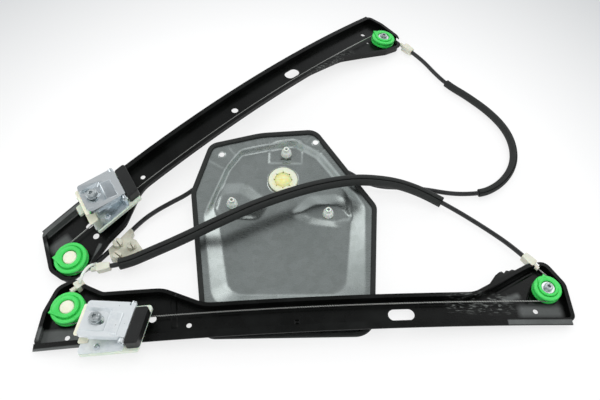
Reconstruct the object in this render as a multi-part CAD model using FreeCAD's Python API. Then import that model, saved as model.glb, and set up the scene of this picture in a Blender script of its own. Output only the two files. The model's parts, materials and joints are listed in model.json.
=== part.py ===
import FreeCAD, Part
import math
import os
from FreeCAD import Placement, Rotation, Vector

# Cable window regulator with two arched guide rails, laid flat.
# Millimetres; X to the right, Y away from the viewer, Z up, table at Z = 0.

# Where the table point below the middle of the whole part lies in layout coordinates
layoutMiddle = Vector(1.72, 49.58, -0.25)

# Guide rails: coordinates along the rail (s), outwards from the wheel line (q), height above the web (h)
sheet = 1.2
wallHeight = 9.5
wheelReach = 246.0
railEnd = 24.0
railHalf = wheelReach + railEnd
innerFlange = 3.0
wireOffset = 15.5

# Corners, clamp and flange keep their distance past the left or the right wheel, the left wheel its place.
# Flange: outer wall line, width and its two reaches past the wheels, of the near or far top flange.
# Exits: heading of the wire off each wheel, distance to its fitting, fitting length, half the wall's notch.
railA = dict(
    name="a", side=1, turn=44.77, leftWheelAt=Vector(-241.5451, -89.8486, 0), radius=1300.0,
    leftWall=[(3, 43.5, 6), (21.5, 3, 10), (17.5, -19, 10), (-11, -23, 8), (-41, -14, 12), (-66, -11, 24),
              (-106, 11.4, 40)],
    rightWall=[(-126, 11.4, 40), (-78, 6, 40), (-18, -19, 10), (3, -22, 8), (17.5, -6, 12), (20, 24, 10),
               (17, 43.5, 5)],
    flange=(43.5, 4.5, 3.0, 16.0),
    exits=((-36.0, 27.5, 14.5, 6.5), (-92.8, 26.0, 15.0, 2.9)),
)
railB = dict(
    name="b", side=-1, turn=4.11, leftWheelAt=Vector(-232.9674, -148.9312, 0), radius=2500.0,
    leftWall=[(27, 37.5, 5), (22.5, 2, 14), (12, -24, 12), (-3, -31, 8), (-18, -21, 12), (-34, -12, 12),
              (-96, -11, 30), (-138, 9.3, 40)],
    rightWall=[(-78, 9.3, 30), (-14, -24, 8), (4, -27, 8), (18.5, -2, 12), (18, 37.5, 5)],
    flange=(37.5, 6.8, 29.0, 16.0),
    exits=((-35.9, 18.0, 10.0, 2.9), (-128.9, 27.0, 15.0, 2.9)),
)

# Cable wheels on the rail ends
wheelGap = 0.3
wheelHeight = 8.4
wireHeight = 5.6
wireRadius = 0.75
wireRun = 0.3
grooveHalf = 1.5
rimLip = 1.5
wheelBore = 4.0
runningFit = 0.05
bossHeight = 1.3
bossRim = 2.2
noseReach = 17.0
leftWheel = 18.0
rightWheel = 15.0
capRadius = 7.6
capHeight = 1.7
boltWasher = 6.8
washerSheet = 1.2
boltHead = 4.6
boltHeadHeight = 3.2
rivetTail = 6.0
tailHeight = 1.1
tailGap = 0.03
wheelNoses = dict(a=(135, 100), b=(190, 150))

# End fittings that carry the conduit ends
neckRadius = 2.6
neckLength = 6.0
neckGap = 0.3
fittingWidth = 9.0
fittingHeight = 8.0
conduitRadius = 2.6
linerRadius = 1.6
wireBore = 1.3
conduitLead = 18.0
cordSides = 8
wireSides = 6

# Glass clamps, in a frame turned on the rail, origin at the clamp screw
clampTurn = -14.5
clampPlace = dict(a=(59.0, 25.0), b=(39.0, -27.5))
clampLean = math.tan(math.radians(-clampTurn))
slideFit = 0.4
shoeTop = 14.0
plateSheet = 1.5
padSheet = 1.2
glassSheet = 4.0
mouthEdge = -14.0
hingeReach = 28.0
jawHalf = 19.0
baseNear = -29.0
baseFar = 22.0
blockNear = -26.0
blockFar = 14.0
knuckleWidth = 4.0
padReach = 10.0
pinRadius = 1.6
jawOpen = 18.0
screwRadius = 3.0
screwHead = 5.2
screwHeadHeight = 2.8
washerRadius = 6.5
screwLength = 15.0
nutAcross = 10.0
nutTop = 18.5
collarRadius = 4.2
collarTop = 23.0
collarGap = 0.5
blockGap = 3.5
blockLength = 13.0
blockTop = 26.0
rivetPlace = (3.0, -21.0)
rivetRadius = 3.4
jawRise = 3.0
jawOverhang = 2.0
jawRecess = [(12.0, -14.0, 9.0, -11.5), (12.0, 11.5, 9.0, 9.0)]
jawApron = 3.5
apronReach = 11.0
apronCorner = 0.5
screwRoom = 2.5
tabReach = 9.0

# Drive panel: a drawn sheet with a pan, tilted so that its near edge lies under rail b
panelTilt = 7.5
hubPlace = Vector(-19.5, 11.0, 28.7)
panelSheet = 1.0
panDepth = 8.0
gasketWidth = 5.5
gasketHeight = 2.5
panelOutline = [(-100, -22, 25), (-84, 40, 14), (-27, 56, 90), (36, 62, 16), (103, -36, 14), (96, -183, 20),
                (-75, -189, 14)]
panTop = [(-85, -50, 24), (-64, 10, 20), (-50, 34, 12), (12, 51, 14), (42, 33, 30), (92, -36, 20), (90, -152, 22),
          (-69, -156, 22)]
panFloor = [(-73, -30, 16), (-61, 12, 14), (-47, 32, 8), (10, 45, 10), (37, 29, 24), (77, -24, 16), (67, -136, 18),
            (-52, -138, 18)]
islandRise = 3.0
islands = [
    ([(-71, -38, 4), (-66, -22, 8), (-48, -19, 14), (-24, -35, 4), (-38, -45, 14), (-62, -46, 8)],
     [(-76, -44, 6), (-74, -6, 12), (-42, -4, 16), (-11, -30, 8), (-26, -50, 12), (-66, -51, 10)]),
    ([(18, -43, 3), (38, -31, 14), (62, -33, 12), (76, -48, 3), (54, -51, 20), (34, -47, 20)],
     [(9, -42, 5), (27, -20, 16), (66, -16, 14), (79, -46, 6), (66, -60, 12), (27, -56, 16)]),
]
cornerHoles = [(-70.0, 27.6), (36.1, 46.1)]
cornerHole = 3.3
hubOpening = 17.0
postPlaces = [(3.0, 34.0, 0.0), (-55.0, -34.0, islandRise), (50.5, -44.0, islandRise)]
postHole = 4.0

# Drum housing and drum under the pan
drumRadius = 22.0
drumGap = 0.5
cupWall = 2.2
cupDepth = 14.0
cupFloor = 1.6
drumGrooves = 3
hubRadius = 16.3
driveBore = 9.5
driveDepth = 5.0
driveTeeth = 8
driveTooth = 0.9
spigotRadius = 5.0
spigotHeight = 5.0
postRadius = 3.5
postBore = 1.6
bossRadius = 5.0
# Barbed head of a post above the sheet: (radius, height)
postHead = [(5.4, 0.3), (6.1, 1.8), (5.2, 6.5), (3.4, 8.8), (2.9, 12.0)]
armHalf = 6.0
armSheet = 3.0
socketRadius = 4.6
socketBore = 3.4
socketReach = 44.0
ferruleRadius = 3.1
ferruleDepth = 7.0
ferruleLip = 6.0
ferruleLead = 12.0

# Sleeves over the conduits and the clip beside rail a, in layout coordinates
loopSleeveRadius = 4.6
longSleeveRadius = 5.4
sleeveBore = 3.3
clipOutline = [(-183, -51, 1.5), (-179.5, -55, 1.5), (-181.5, -64, 2), (-175, -66.5, 2), (-165, -80, 3),
               (-170, -92, 3), (-191, -95, 3), (-199, -89, 3), (-203, -78.5, 3), (-196, -70, 2)]
clipLow = 5.0
clipHigh = 13.5
clipBosses = [(-193.0, -73.5, 5.2, 130), (-178.2, -76.5, 4.4, 125), (-191.2, -88.5, 4.4, 145)]
clipBossTop = 19.5
clipSlot = 1.2


def rounded(points):
    """Closed wire through corner points (x, y, corner radius)."""
    corners = []
    count = len(points)
    for index in range(count):
        before = Vector(*points[index - 1][:2], 0)
        here = Vector(*points[index][:2], 0)
        after = Vector(*points[(index + 1) % count][:2], 0)
        into = (here - before).normalize()
        out = (after - here).normalize()
        turn = math.acos(max(-1.0, min(1.0, into.dot(out))))
        cut = points[index][2] * math.tan(turn / 2)
        first = here - into * cut
        last = here + out * cut
        half = (out - into).normalize()
        middle = here + half * (points[index][2] * (1 / math.cos(turn / 2) - 1))
        corners.append((first, middle, last))
    edges = []
    for index in range(count):
        first, middle, last = corners[index]
        edges.append(Part.Arc(first, middle, last).toShape())
        following = corners[(index + 1) % count][0]
        if (following - last).Length > 1e-6:
            edges.append(Part.LineSegment(last, following).toShape())
    return Part.Wire(edges)


def prism(wire, low, high):
    solid = Part.Face(wire).extrude(Vector(0, 0, high - low))
    solid.translate(Vector(0, 0, low))
    return solid


def block(x0, x1, y0, y1, z0, z1):
    return Part.makeBox(x1 - x0, y1 - y0, z1 - z0, Vector(x0, y0, z0))


def rod(radius, low, high, x=0.0, y=0.0):
    return Part.makeCylinder(radius, high - low, Vector(x, y, low))


def spun(profile):
    """Solid of revolution about Z from (radius, height) corners."""
    points = [Vector(r, 0, z) for r, z in profile]
    face = Part.Face(Part.makePolygon(points + points[:1]))
    return face.revolve(Vector(0, 0, 0), Vector(0, 0, 1), 360)


def joined(shapes):
    first = shapes[0]
    for other in shapes[1:]:
        first = first.fuse(other)
    return first.removeSplitter()


def polygonFace(radius, centre, normal, sides):
    """Regular section for a long thin sweep."""
    circle = Part.makeCircle(radius, centre, normal)
    turn = circle.LastParameter - circle.FirstParameter
    points = [circle.valueAt(circle.FirstParameter + turn * index / sides) for index in range(sides)]
    return Part.Face(Part.makePolygon(points + points[:1]))


def across(radius, near, far, x, z):
    """Cylinder along Y between two places."""
    return Part.makeCylinder(radius, far - near, Vector(x, near, z), Vector(0, 1, 0))


# Placing on an arched rail


def arcCentre(rail):
    return -math.sqrt(rail["radius"] ** 2 - railHalf ** 2)


def band(rail, q0, q1, h0, h1, s0, s1):
    """Block that follows the rail's arch between two places along it."""
    radius = rail["radius"]
    face = Part.Face(Part.makePolygon([
        Vector(0, q0, radius + h0), Vector(0, q1, radius + h0), Vector(0, q1, radius + h1),
        Vector(0, q0, radius + h1), Vector(0, q0, radius + h0)]))
    start = math.degrees(s0 / radius)
    sweep = math.degrees((s1 - s0) / radius)
    face.rotate(Vector(0, 0, 0), Vector(0, 1, 0), start)
    solid = face.revolve(Vector(0, 0, 0), Vector(0, 1, 0), sweep)
    solid.translate(Vector(0, 0, arcCentre(rail)))
    return solid


def seatOn(rail, s, q):
    """Placement of an upright local frame standing on the web's underside at (s, q)."""
    lift = Placement(Vector(0, q, rail["radius"]), Rotation())
    swing = Placement(Vector(0, 0, 0), Rotation(Vector(0, 1, 0), math.degrees(s / rail["radius"])))
    drop = Placement(Vector(0, 0, arcCentre(rail)), Rotation())
    return drop * swing * lift


def railPlacement(rail):
    turn = Rotation(Vector(0, 0, 1), rail["turn"])
    middle = rail["leftWheelAt"] + turn.multVec(Vector(wheelReach, 0, 0))
    return Placement(middle - layoutMiddle, turn)


def onRail(rail, shape):
    """Turn rail coordinates (s, q, z) into the part's frame; rail b is the mirrored hand."""
    if rail["side"] < 0:
        shape = shape.mirror(Vector(0, 0, 0), Vector(0, 1, 0))
    shape = shape.copy()
    shape.Placement = railPlacement(rail) * shape.Placement
    return shape


def placed(shape, placement):
    shape = shape.copy()
    shape.Placement = placement * shape.Placement
    return shape


# Rails


def wheelSeat(rail, end):
    """Wheel centre (s, q): the wire leaves each wheel at the same distance from the wheel line."""
    return end * wheelReach, wireOffset - wireTurn(end)


def wireTurn(end):
    """Radius at which the wire runs round a wheel."""
    return (leftWheel if end < 0 else rightWheel) - rimLip


def exitOf(rail, end):
    return rail["exits"][0 if end < 0 else 1]


def exitLine(rail, end):
    """Where the wire leaves a wheel: point and heading in the wheel's own plane, about its centre."""
    heading = math.radians(exitOf(rail, end)[0])
    direction = Vector(math.cos(heading), math.sin(heading), 0)
    normal = Vector(direction.y, -direction.x, 0) * (1 if end < 0 else -1)
    return normal * wireTurn(end), direction


def exitPlacement(rail, end, along):
    """Frame on the wire's exit line: X along it, origin a distance past the wheel, at wire height."""
    point, direction = exitLine(rail, end)
    place = point + direction * along + Vector(0, 0, wireHeight)
    turn = Rotation(Vector(0, 0, 1), exitOf(rail, end)[0])
    return seatOn(rail, *wheelSeat(rail, end)) * Placement(place, turn)


def makeRail(rail, holes):
    """Pressed tray: arched web, walls round it and flanges turned outwards along the top."""
    corners = [(-wheelReach - s, q, radius) for s, q, radius in rail["leftWall"]]
    outline = rounded(corners + [(wheelReach + s, q, radius) for s, q, radius in rail["rightWall"]])
    inside = outline.makeOffset2D(-sheet)
    reach = railHalf + 20
    side = 80

    def upright(wire):
        return prism(wire, -5, 60)

    web = upright(outline).common(band(rail, -side, side, 0, sheet, -reach, reach))
    walls = upright(outline).cut(upright(inside)).common(band(rail, -side, side, 0, wallHeight, -reach, reach))
    wallLine, width, left, right = rail["flange"]
    lip = upright(outline.makeOffset2D(innerFlange))
    lip = lip.fuse(
        band(rail, wallLine - 1, wallLine + width, 0, wallHeight, -wheelReach - left, wheelReach + right))
    lip = lip.cut(upright(inside)).common(band(rail, -side, side, wallHeight - sheet, wallHeight, -reach, reach))
    solid = joined([web, walls, lip])
    cutters = []
    for s, q, length, width in holes:
        half = (length - width) / 2
        cutter = rod(width / 2, -3, 4, -half)
        if half > 0:
            cutter = cutter.fuse(rod(width / 2, -3, 4, half)).fuse(block(-half, half, -width / 2, width / 2, -3, 4))
        cutters.append(placed(cutter, seatOn(rail, s, q)))
    for end in (-1, 1):
        cutters.append(placed(rod(wheelBore, -3, 4), seatOn(rail, *wheelSeat(rail, end))))
        heading, start, length, opening = exitOf(rail, end)
        notch = block(1, start, -opening, opening, -neckRadius - neckGap, 9)
        half = fittingWidth / 2 + neckGap
        stop = start + length + neckGap
        notch = notch.fuse(block(start - neckGap, stop, -half, half, -fittingHeight / 2 - neckGap, 9))
        cutters.append(placed(notch, exitPlacement(rail, end, 0)))
    for cutter in cutters:
        solid = solid.cut(cutter)
    return onRail(rail, solid)


# Cable wheels


def makeWheel(rail, end):
    outer = leftWheel if end < 0 else rightWheel
    low = sheet + wheelGap
    high = low + wheelHeight
    root = outer - rimLip - wireRadius - wireRun
    body = spun([
        (wheelBore + runningFit, low), (outer - 1.2, low), (outer, low + 0.8), (outer, wireHeight - grooveHalf),
        (root, wireHeight - wireRadius), (root, wireHeight + wireRadius), (outer, wireHeight + grooveHalf),
        (outer, high - 1.0), (outer - 0.8, high), (outer - bossRim - 1.6, high), (outer - bossRim - 2.6, high - 1.2),
        (wheelBore + runningFit, high - 1.2)])
    bossRadius = outer * 0.62
    nose = noseReach * outer / leftWheel - 0.6
    reach = math.acos(bossRadius / nose)
    tip = Vector(-nose, 0, 0)
    first = Vector(-bossRadius * math.cos(reach), bossRadius * math.sin(reach), 0)
    last = Vector(first.x, -first.y, 0)
    teardrop = Part.Wire([
        Part.LineSegment(tip, first).toShape(), Part.Arc(first, Vector(bossRadius, 0, 0), last).toShape(),
        Part.LineSegment(last, tip).toShape()])
    boss = prism(teardrop, high - 1.4, high + bossHeight)
    boss = boss.cut(rod(capRadius + 0.5, high - 2.0, high + bossHeight + 1))
    body = body.fuse(boss)
    for side in (-1, 1):
        pocket = Part.Wire([
            Part.LineSegment(Vector(-nose + 3.4, side * 0.6, 0), Vector(-nose + 6.4, side * 0.6, 0)).toShape(),
            Part.LineSegment(Vector(-nose + 6.4, side * 0.6, 0), Vector(-nose + 6.4, side * 3.2, 0)).toShape(),
            Part.LineSegment(Vector(-nose + 6.4, side * 3.2, 0), Vector(-nose + 3.4, side * 0.6, 0)).toShape()])
        body = body.cut(prism(pocket, high, high + bossHeight + 1))
    body = body.cut(rod(wheelBore + runningFit, low - 1, high + 2)).removeSplitter()
    nose = wheelNoses[rail["name"]][0 if end < 0 else 1]
    body.rotate(Vector(0, 0, 0), Vector(0, 0, 1), nose - 180)
    return onRail(rail, placed(body, seatOn(rail, *wheelSeat(rail, end))))


def makeHubRivet(rail):
    """Shouldered rivet of a left wheel with its broad flat cap."""
    top = sheet + wheelGap + wheelHeight - 1.2
    shape = spun([
        (0, -tailHeight), (rivetTail - 1, -tailHeight), (rivetTail, -0.3), (rivetTail, -tailGap), (wheelBore, -tailGap),
        (wheelBore, top + 0.2), (capRadius, top + 0.2), (capRadius, top + capHeight),
        (capRadius - 0.9, top + capHeight + 0.9), (0, top + capHeight + 1.2)])
    return onRail(rail, placed(shape, seatOn(rail, *wheelSeat(rail, -1))))


def makeHubBolt(rail):
    """Shoulder bolt of a right wheel with a six-lobe socket."""
    top = sheet + wheelGap + wheelHeight - 1.2 + 0.2 + washerSheet
    shape = spun([
        (0, -tailHeight), (rivetTail - 1, -tailHeight), (rivetTail, -0.3), (rivetTail, -tailGap), (wheelBore, -tailGap),
        (wheelBore, top), (boltHead, top), (boltHead, top + boltHeadHeight - 0.9),
        (boltHead - 1.0, top + boltHeadHeight), (0, top + boltHeadHeight)])
    shape = shape.cut(sixLobe(2.2, top + 1.0, top + boltHeadHeight + 1))
    return onRail(rail, placed(shape, seatOn(rail, *wheelSeat(rail, 1))))


def makeHubWasher(rail):
    low = sheet + wheelGap + wheelHeight - 1.2 + 0.2
    shape = rod(boltWasher, low, low + washerSheet).cut(rod(wheelBore, low - 1, low + 3))
    return onRail(rail, placed(shape, seatOn(rail, *wheelSeat(rail, 1))))


def sixLobe(radius, low, high):
    shapes = [rod(radius * 0.78, low, high)]
    for lobe in range(6):
        angle = math.radians(60 * lobe)
        shapes.append(rod(radius * 0.3, low, high, radius * 0.72 * math.cos(angle), radius * 0.72 * math.sin(angle)))
    return joined(shapes)


# Wires, modelled along their rail run and round their wheels


def makeWire(rail):
    """Wire along the tray, round both wheels and out to the fittings, with a light six sided section."""
    first = math.degrees(wheelSeat(rail, -1)[0] / rail["radius"])
    last = math.degrees(wheelSeat(rail, 1)[0] / rail["radius"])
    face = polygonFace(wireRadius, Vector(0, wireOffset, rail["radius"] + wireHeight), Vector(1, 0, 0), wireSides)
    face.rotate(Vector(0, 0, 0), Vector(0, 1, 0), first)
    run = face.revolve(Vector(0, 0, 0), Vector(0, 1, 0), last - first)
    run.translate(Vector(0, 0, arcCentre(rail)))
    pieces = [run]
    for end in (-1, 1):
        point, direction = exitLine(rail, end)
        stop = math.degrees(math.atan2(point.y, point.x))
        sweep = (stop - 90) % 360 if end < 0 else -((90 - stop) % 360)
        face = polygonFace(wireRadius, Vector(0, wireTurn(end), wireHeight), Vector(1, 0, 0), wireSides)
        bend = face.revolve(Vector(0, 0, 0), Vector(0, 0, 1), sweep)
        pieces.append(placed(bend, seatOn(rail, *wheelSeat(rail, end))))
        reach = exitOf(rail, end)[1] + exitOf(rail, end)[2] / 2
        tail = polygonFace(wireRadius, Vector(0, 0, 0), Vector(1, 0, 0), wireSides).extrude(Vector(reach, 0, 0))
        pieces.append(placed(tail, exitPlacement(rail, end, 0)))
    return onRail(rail, joined(pieces))


def makeFitting(rail, end):
    """Moulded end fitting: a neck through the rail wall and a body that grips the conduit end."""
    heading, reach, length, opening = exitOf(rail, end)
    half = fittingWidth / 2
    shoulder = length * 0.35
    neck = Part.makeCylinder(neckRadius, neckLength + 1, Vector(-neckLength, 0, 0), Vector(1, 0, 0))
    body = prism(rounded([(0, -half, 1.2), (shoulder, -half, 1.0), (length, 1 - half, 1.2), (length, half - 1, 1.2),
                          (shoulder, half, 1.0), (0, half, 1.2)]), -fittingHeight / 2, fittingHeight / 2)
    bore = Part.makeCylinder(wireBore, length + neckLength + 2, Vector(-neckLength - 1, 0, 0), Vector(1, 0, 0))
    return onRail(rail, placed(body.fuse(neck).cut(bore), exitPlacement(rail, end, reach)))


# Glass clamps


def clampRail(name):
    return railA if name == "a" else railB


def clampSeat(name):
    """Clamp's place along and across its rail: it stays a set distance from the left wheel."""
    past, aside = clampPlace[name]
    return past - wheelReach, aside


def clampPlacement(name):
    """Frame of a clamp: origin at its screw on the web's underside, X towards the hinge."""
    rail = clampRail(name)
    turn = Placement(Vector(0, 0, 0), Rotation(Vector(0, 0, 1), clampTurn))
    return railPlacement(rail) * seatOn(rail, *clampSeat(name)) * turn


def sheared(points):
    """Points moved so that long sides follow the rail while ends stay square to the hinge pin."""
    return [(x, y + x * clampLean, radius) for x, y, radius in points]


def leaned(points):
    return rounded(sheared(points))


def slanted(x0, x1, near, far, r0, r1):
    """Leaned four sided outline with one corner radius at each end."""
    return leaned([(x0, near, r0), (x1, near, r1), (x1, far, r1), (x0, far, r0)])


def hingeLine(y):
    """Place along the hinge pin of a line that starts at y beside the screw."""
    return y + hingeReach * clampLean


def pinHeight():
    """Height of the hinge pin so that the closed jaw is parallel to the glass."""
    return shoeTop + plateSheet + padSheet + glassSheet + padSheet + plateSheet / 2


def makeShoe(name):
    """Plastic slide: a slab over the rail, a hook round its outer flange and two cable lugs in the tray."""
    rail = clampRail(name)
    s, t = clampSeat(name)
    wallLine, width, left, right = rail["flange"]
    edge = wallLine + width + slideFit
    low = wallHeight + slideFit
    under = wallHeight - sheet - slideFit
    end = hingeReach + blockGap + blockLength - 1.0
    slab = prism(slanted(mouthEdge + 1, end, baseNear, baseFar - 1, 2, 3), low + 0.3, shoeTop)
    hook = band(rail, edge, edge + 2.6, under - 2.4, low + 2.4, s - 12, s + 30)
    bridge = band(rail, wallLine - 6, edge + 2.6, low, low + 2.4, s - 12, s + 30)
    grip = band(rail, wallLine + slideFit, edge + 1, under - 2.4, under, s - 12, s + 30)
    guideLow = sheet + slideFit
    inner = wireOffset + 4.5
    guide = band(rail, inner, wallLine - sheet - slideFit, guideLow, low + 2.0, s - 4, s + 24)
    pieces = [placed(slab, clampPlacement(name)), onRail(rail, hook.fuse(grip).fuse(bridge)),
              onRail(rail, guide)]
    if name == "a":
        tab = prism(slanted(mouthEdge - tabReach, mouthEdge + 4, 4, 16, 2, 1), low + 0.3, shoeTop)
        pieces.append(placed(tab, clampPlacement(name)))
    for place in (s - 2, s + 18):
        lug = band(rail, wireOffset - 2.4, inner + 1, guideLow, low + 2.0, place, place + 4)
        slot = band(rail, wireOffset - 1.2, wireOffset + 1.2, guideLow - 1, wireHeight + 1.2, place - 1, place + 5)
        pieces.append(onRail(rail, lug.cut(slot)))
    shoe = joined(pieces)
    shoe = shoe.cut(placed(nutShape(runningFit, low - 4, nutTop + 2), clampPlacement(name)))
    return shoe.cut(placed(rod(screwRadius + screwRoom, 0, low + 1), clampPlacement(name)))


def nutShape(gap, low, high):
    side = (nutAcross / 2 + gap) / math.cos(math.radians(30))
    corners = []
    for index in range(6):
        angle = math.radians(60 * index)
        corners.append(Vector(side * math.cos(angle), side * math.sin(angle), 0))
    return prism(Part.makePolygon(corners + corners[:1]), low, high)


def makeNipples(name):
    """Two crimped wire ends held between the shoe's cable lugs."""
    rail = clampRail(name)
    s = clampSeat(name)[0]
    radius = rail["radius"]
    centre = Vector(0, wireOffset, radius + wireHeight)
    solids = []
    for start in (s + 2.4, s + 10.4):
        ring = polygonFace(2.2, centre, Vector(1, 0, 0), 12)
        ring = ring.cut(polygonFace(wireRadius + wireRun, centre, Vector(1, 0, 0), 12))
        ring.rotate(Vector(0, 0, 0), Vector(0, 1, 0), math.degrees(start / radius))
        ring = ring.revolve(Vector(0, 0, 0), Vector(0, 1, 0), math.degrees(7.2 / radius))
        ring.translate(Vector(0, 0, arcCentre(rail)))
        solids.append(onRail(rail, ring))
    return Part.makeCompound(solids)


def makeBasePlate(name):
    """Zinc plated plate on the shoe with rolled knuckles for the hinge pin."""
    top = shoeTop + plateSheet
    plate = prism(slanted(mouthEdge, hingeReach + 1, baseNear + 1, baseFar - 2, 3, 1.5), shoeTop, top)
    plate = plate.cut(nutShape(0.1, shoeTop - 1, top + 1))
    near = hingeLine(-jawHalf) - 0.3
    far = hingeLine(jawHalf) - knuckleWidth + 0.3
    for start in (near - knuckleWidth, far):
        eye = across(pinRadius + plateSheet, start, start + knuckleWidth, hingeReach, pinHeight())
        foot = block(hingeReach - 1.5, hingeReach + 1.5, start, start + knuckleWidth, shoeTop, pinHeight())
        plate = plate.fuse(eye).fuse(foot)
    bore = across(pinRadius, near - 9, far + 9, hingeReach, pinHeight())
    return placed(plate.cut(bore).removeSplitter(), clampPlacement(name))


def makeHingePin(name):
    near = hingeLine(-jawHalf) - knuckleWidth - 1.3
    far = hingeLine(jawHalf) + 0.6
    pin = across(pinRadius, near, far, hingeReach, pinHeight())
    head = across(pinRadius + 1.2, far, far + 1.2, hingeReach, pinHeight())
    return placed(pin.fuse(head), clampPlacement(name))


def makeBasePad(name):
    low = shoeTop + plateSheet
    outline = slanted(mouthEdge - 3, mouthEdge - 3 + padReach, -jawHalf + 2, jawHalf - 2, 2, 1)
    return placed(prism(outline, low, low + padSheet), clampPlacement(name))


def makeBaseRivet(name):
    top = shoeTop + plateSheet
    shape = spun([(0, top), (rivetRadius, top), (rivetRadius, top + 0.9), (rivetRadius - 1, top + 1.9), (0, top + 2.2)])
    shape.translate(Vector(*rivetPlace, 0))
    return placed(shape, clampPlacement(name))


def makeNut(name):
    low = wallHeight + slideFit + 0.5
    nut = nutShape(0, low, collarTop).common(spun([
        (0, low), (nutAcross * 0.55, low), (nutAcross * 0.62, low + 1), (nutAcross * 0.62, nutTop - 1),
        (nutAcross * 0.52, nutTop), (collarRadius, nutTop), (collarRadius, collarTop), (0, collarTop)]))
    return placed(nut.cut(rod(screwRadius + runningFit, low - 1, collarTop + 1)), clampPlacement(name))


def makeEndBlock(name):
    """Black moulded block beside the hinge."""
    start = hingeReach + blockGap
    solid = prism(slanted(start, start + blockLength, blockNear, blockFar, 2, 3), shoeTop, blockTop)
    solid = solid.makeChamfer(1.0, [edge for edge in solid.Edges if edge.BoundBox.ZMin > blockTop - 0.01])
    return placed(solid, clampPlacement(name))


def jawPlacement(name):
    """The jaw is modelled closed and swung open about the hinge pin."""
    pin = Vector(hingeReach, 0, pinHeight())
    swing = Placement(Vector(0, 0, 0), Rotation(Vector(0, 1, 0), jawOpen), pin)
    return clampPlacement(name) * swing


def makeJaw(name):
    """Pressed jaw: a raised rim on three sides of a sunken field for the screw, and a rolled hinge eye."""
    low = pinHeight() - plateSheet / 2
    high = low + plateSheet
    rim = high + jawRise
    end = hingeReach + jawOverhang
    mouth = mouthEdge - 8
    top = [(mouth, jawRecess[0][1], 1)] + [(x, y, 4) for x, y, u, v in jawRecess] + [(mouth, jawRecess[1][1], 1)]
    floor = [(mouth, jawRecess[0][3], 1)] + [(u, v, 4) for x, y, u, v in jawRecess] + [(mouth, jawRecess[1][3], 1)]
    plate = prism(slanted(mouthEdge, end, -jawHalf, jawHalf, 4, 1), low, rim)
    hollow = prism(slanted(mouthEdge + plateSheet, hingeReach - 4, plateSheet - jawHalf, jawHalf - plateSheet, 3, 1),
                   low - 1, rim - plateSheet)
    field = lofted(grown(sheared(top), plateSheet), grown(sheared(floor), plateSheet), rim, low)
    plate = plate.cut(hollow.cut(field)).cut(lofted(sheared(top), sheared(floor), rim, high))
    apron = prism(slanted(mouthEdge + apronReach, hingeReach - 4, -jawHalf, plateSheet - jawHalf, apronCorner,
                          apronCorner), low - jawApron, low + apronCorner)
    plate = plate.fuse(apron)
    wide = collarRadius + collarGap
    slot = rod(wide, low - 1, high + 3, -3.5).fuse(rod(wide, low - 1, high + 3, 2.0))
    plate = plate.cut(slot.fuse(block(-3.5, 2.0, -wide, wide, low - 1, high + 3)))
    near = hingeLine(-jawHalf)
    far = hingeLine(jawHalf) - knuckleWidth
    eye = across(pinRadius + plateSheet, near, far, hingeReach, pinHeight())
    for start, stop in ((near - 9, near), (far, far + 9)):
        plate = plate.cut(block(hingeReach - 3.6, end + 1, start, stop, low - 1, rim + 1))
    bore = across(pinRadius + runningFit, near - 5, far + 5, hingeReach, pinHeight())
    return placed(plate.fuse(eye).cut(bore).removeSplitter(), jawPlacement(name))


def makeJawPad(name):
    high = pinHeight() - plateSheet / 2
    outline = slanted(mouthEdge - 3, mouthEdge - 3 + padReach - 1.5, -jawHalf + 2, jawHalf - 2, 2, 1)
    return placed(prism(outline, high - padSheet, high), jawPlacement(name))


def washerLow():
    """Underside of the washer, just clear of the open jaw at its far side."""
    swing = math.radians(jawOpen)
    rise = (hingeReach + washerRadius) * math.tan(swing) + plateSheet / 2 / math.cos(swing)
    return pinHeight() + rise + slideFit


def makeClampWasher(name):
    low = washerLow()
    ring = rod(washerRadius, low, low + plateSheet).cut(rod(screwRadius + runningFit, low - 1, low + 3))
    return placed(ring, clampPlacement(name))


def makeClampScrew(name):
    low = washerLow() + plateSheet
    top = low + screwHeadHeight
    head = spun([(0, low - screwLength), (screwRadius - 0.6, low - screwLength),
                 (screwRadius, low - screwLength + 0.8), (screwRadius, low), (screwHead, low),
                 (screwHead, top - 0.8), (screwHead - 0.9, top), (0, top)])
    return placed(head.cut(sixLobe(2.4, low + 1.1, top + 1)), clampPlacement(name))


# Drive panel


def panelPlacement():
    return Placement(hubPlace - layoutMiddle, Rotation(Vector(1, 0, 0), panelTilt))


def lofted(top, floor, high, low):
    upper = rounded(top)
    upper.translate(Vector(0, 0, high))
    lower = rounded(floor)
    lower.translate(Vector(0, 0, low))
    return Part.makeLoft([upper, lower], True, False)


def grown(points, distance):
    """The same outline moved outwards by a distance, corner by corner."""
    count = len(points)
    area = sum(points[i - 1][0] * points[i][1] - points[i][0] * points[i - 1][1] for i in range(count))
    hand = 1 if area > 0 else -1
    result = []
    for index in range(count):
        before = Vector(*points[index - 1][:2], 0)
        here = Vector(*points[index][:2], 0)
        after = Vector(*points[(index + 1) % count][:2], 0)
        into = (here - before).normalize()
        out = (after - here).normalize()
        bisector = Vector(into.y + out.y, -into.x - out.x, 0).normalize() * hand
        reach = distance / (Vector(into.y, -into.x, 0) * hand).dot(bisector)
        corner = here + bisector * reach
        result.append((corner.x, corner.y, max(1.0, points[index][2] + distance)))
    return result


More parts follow.
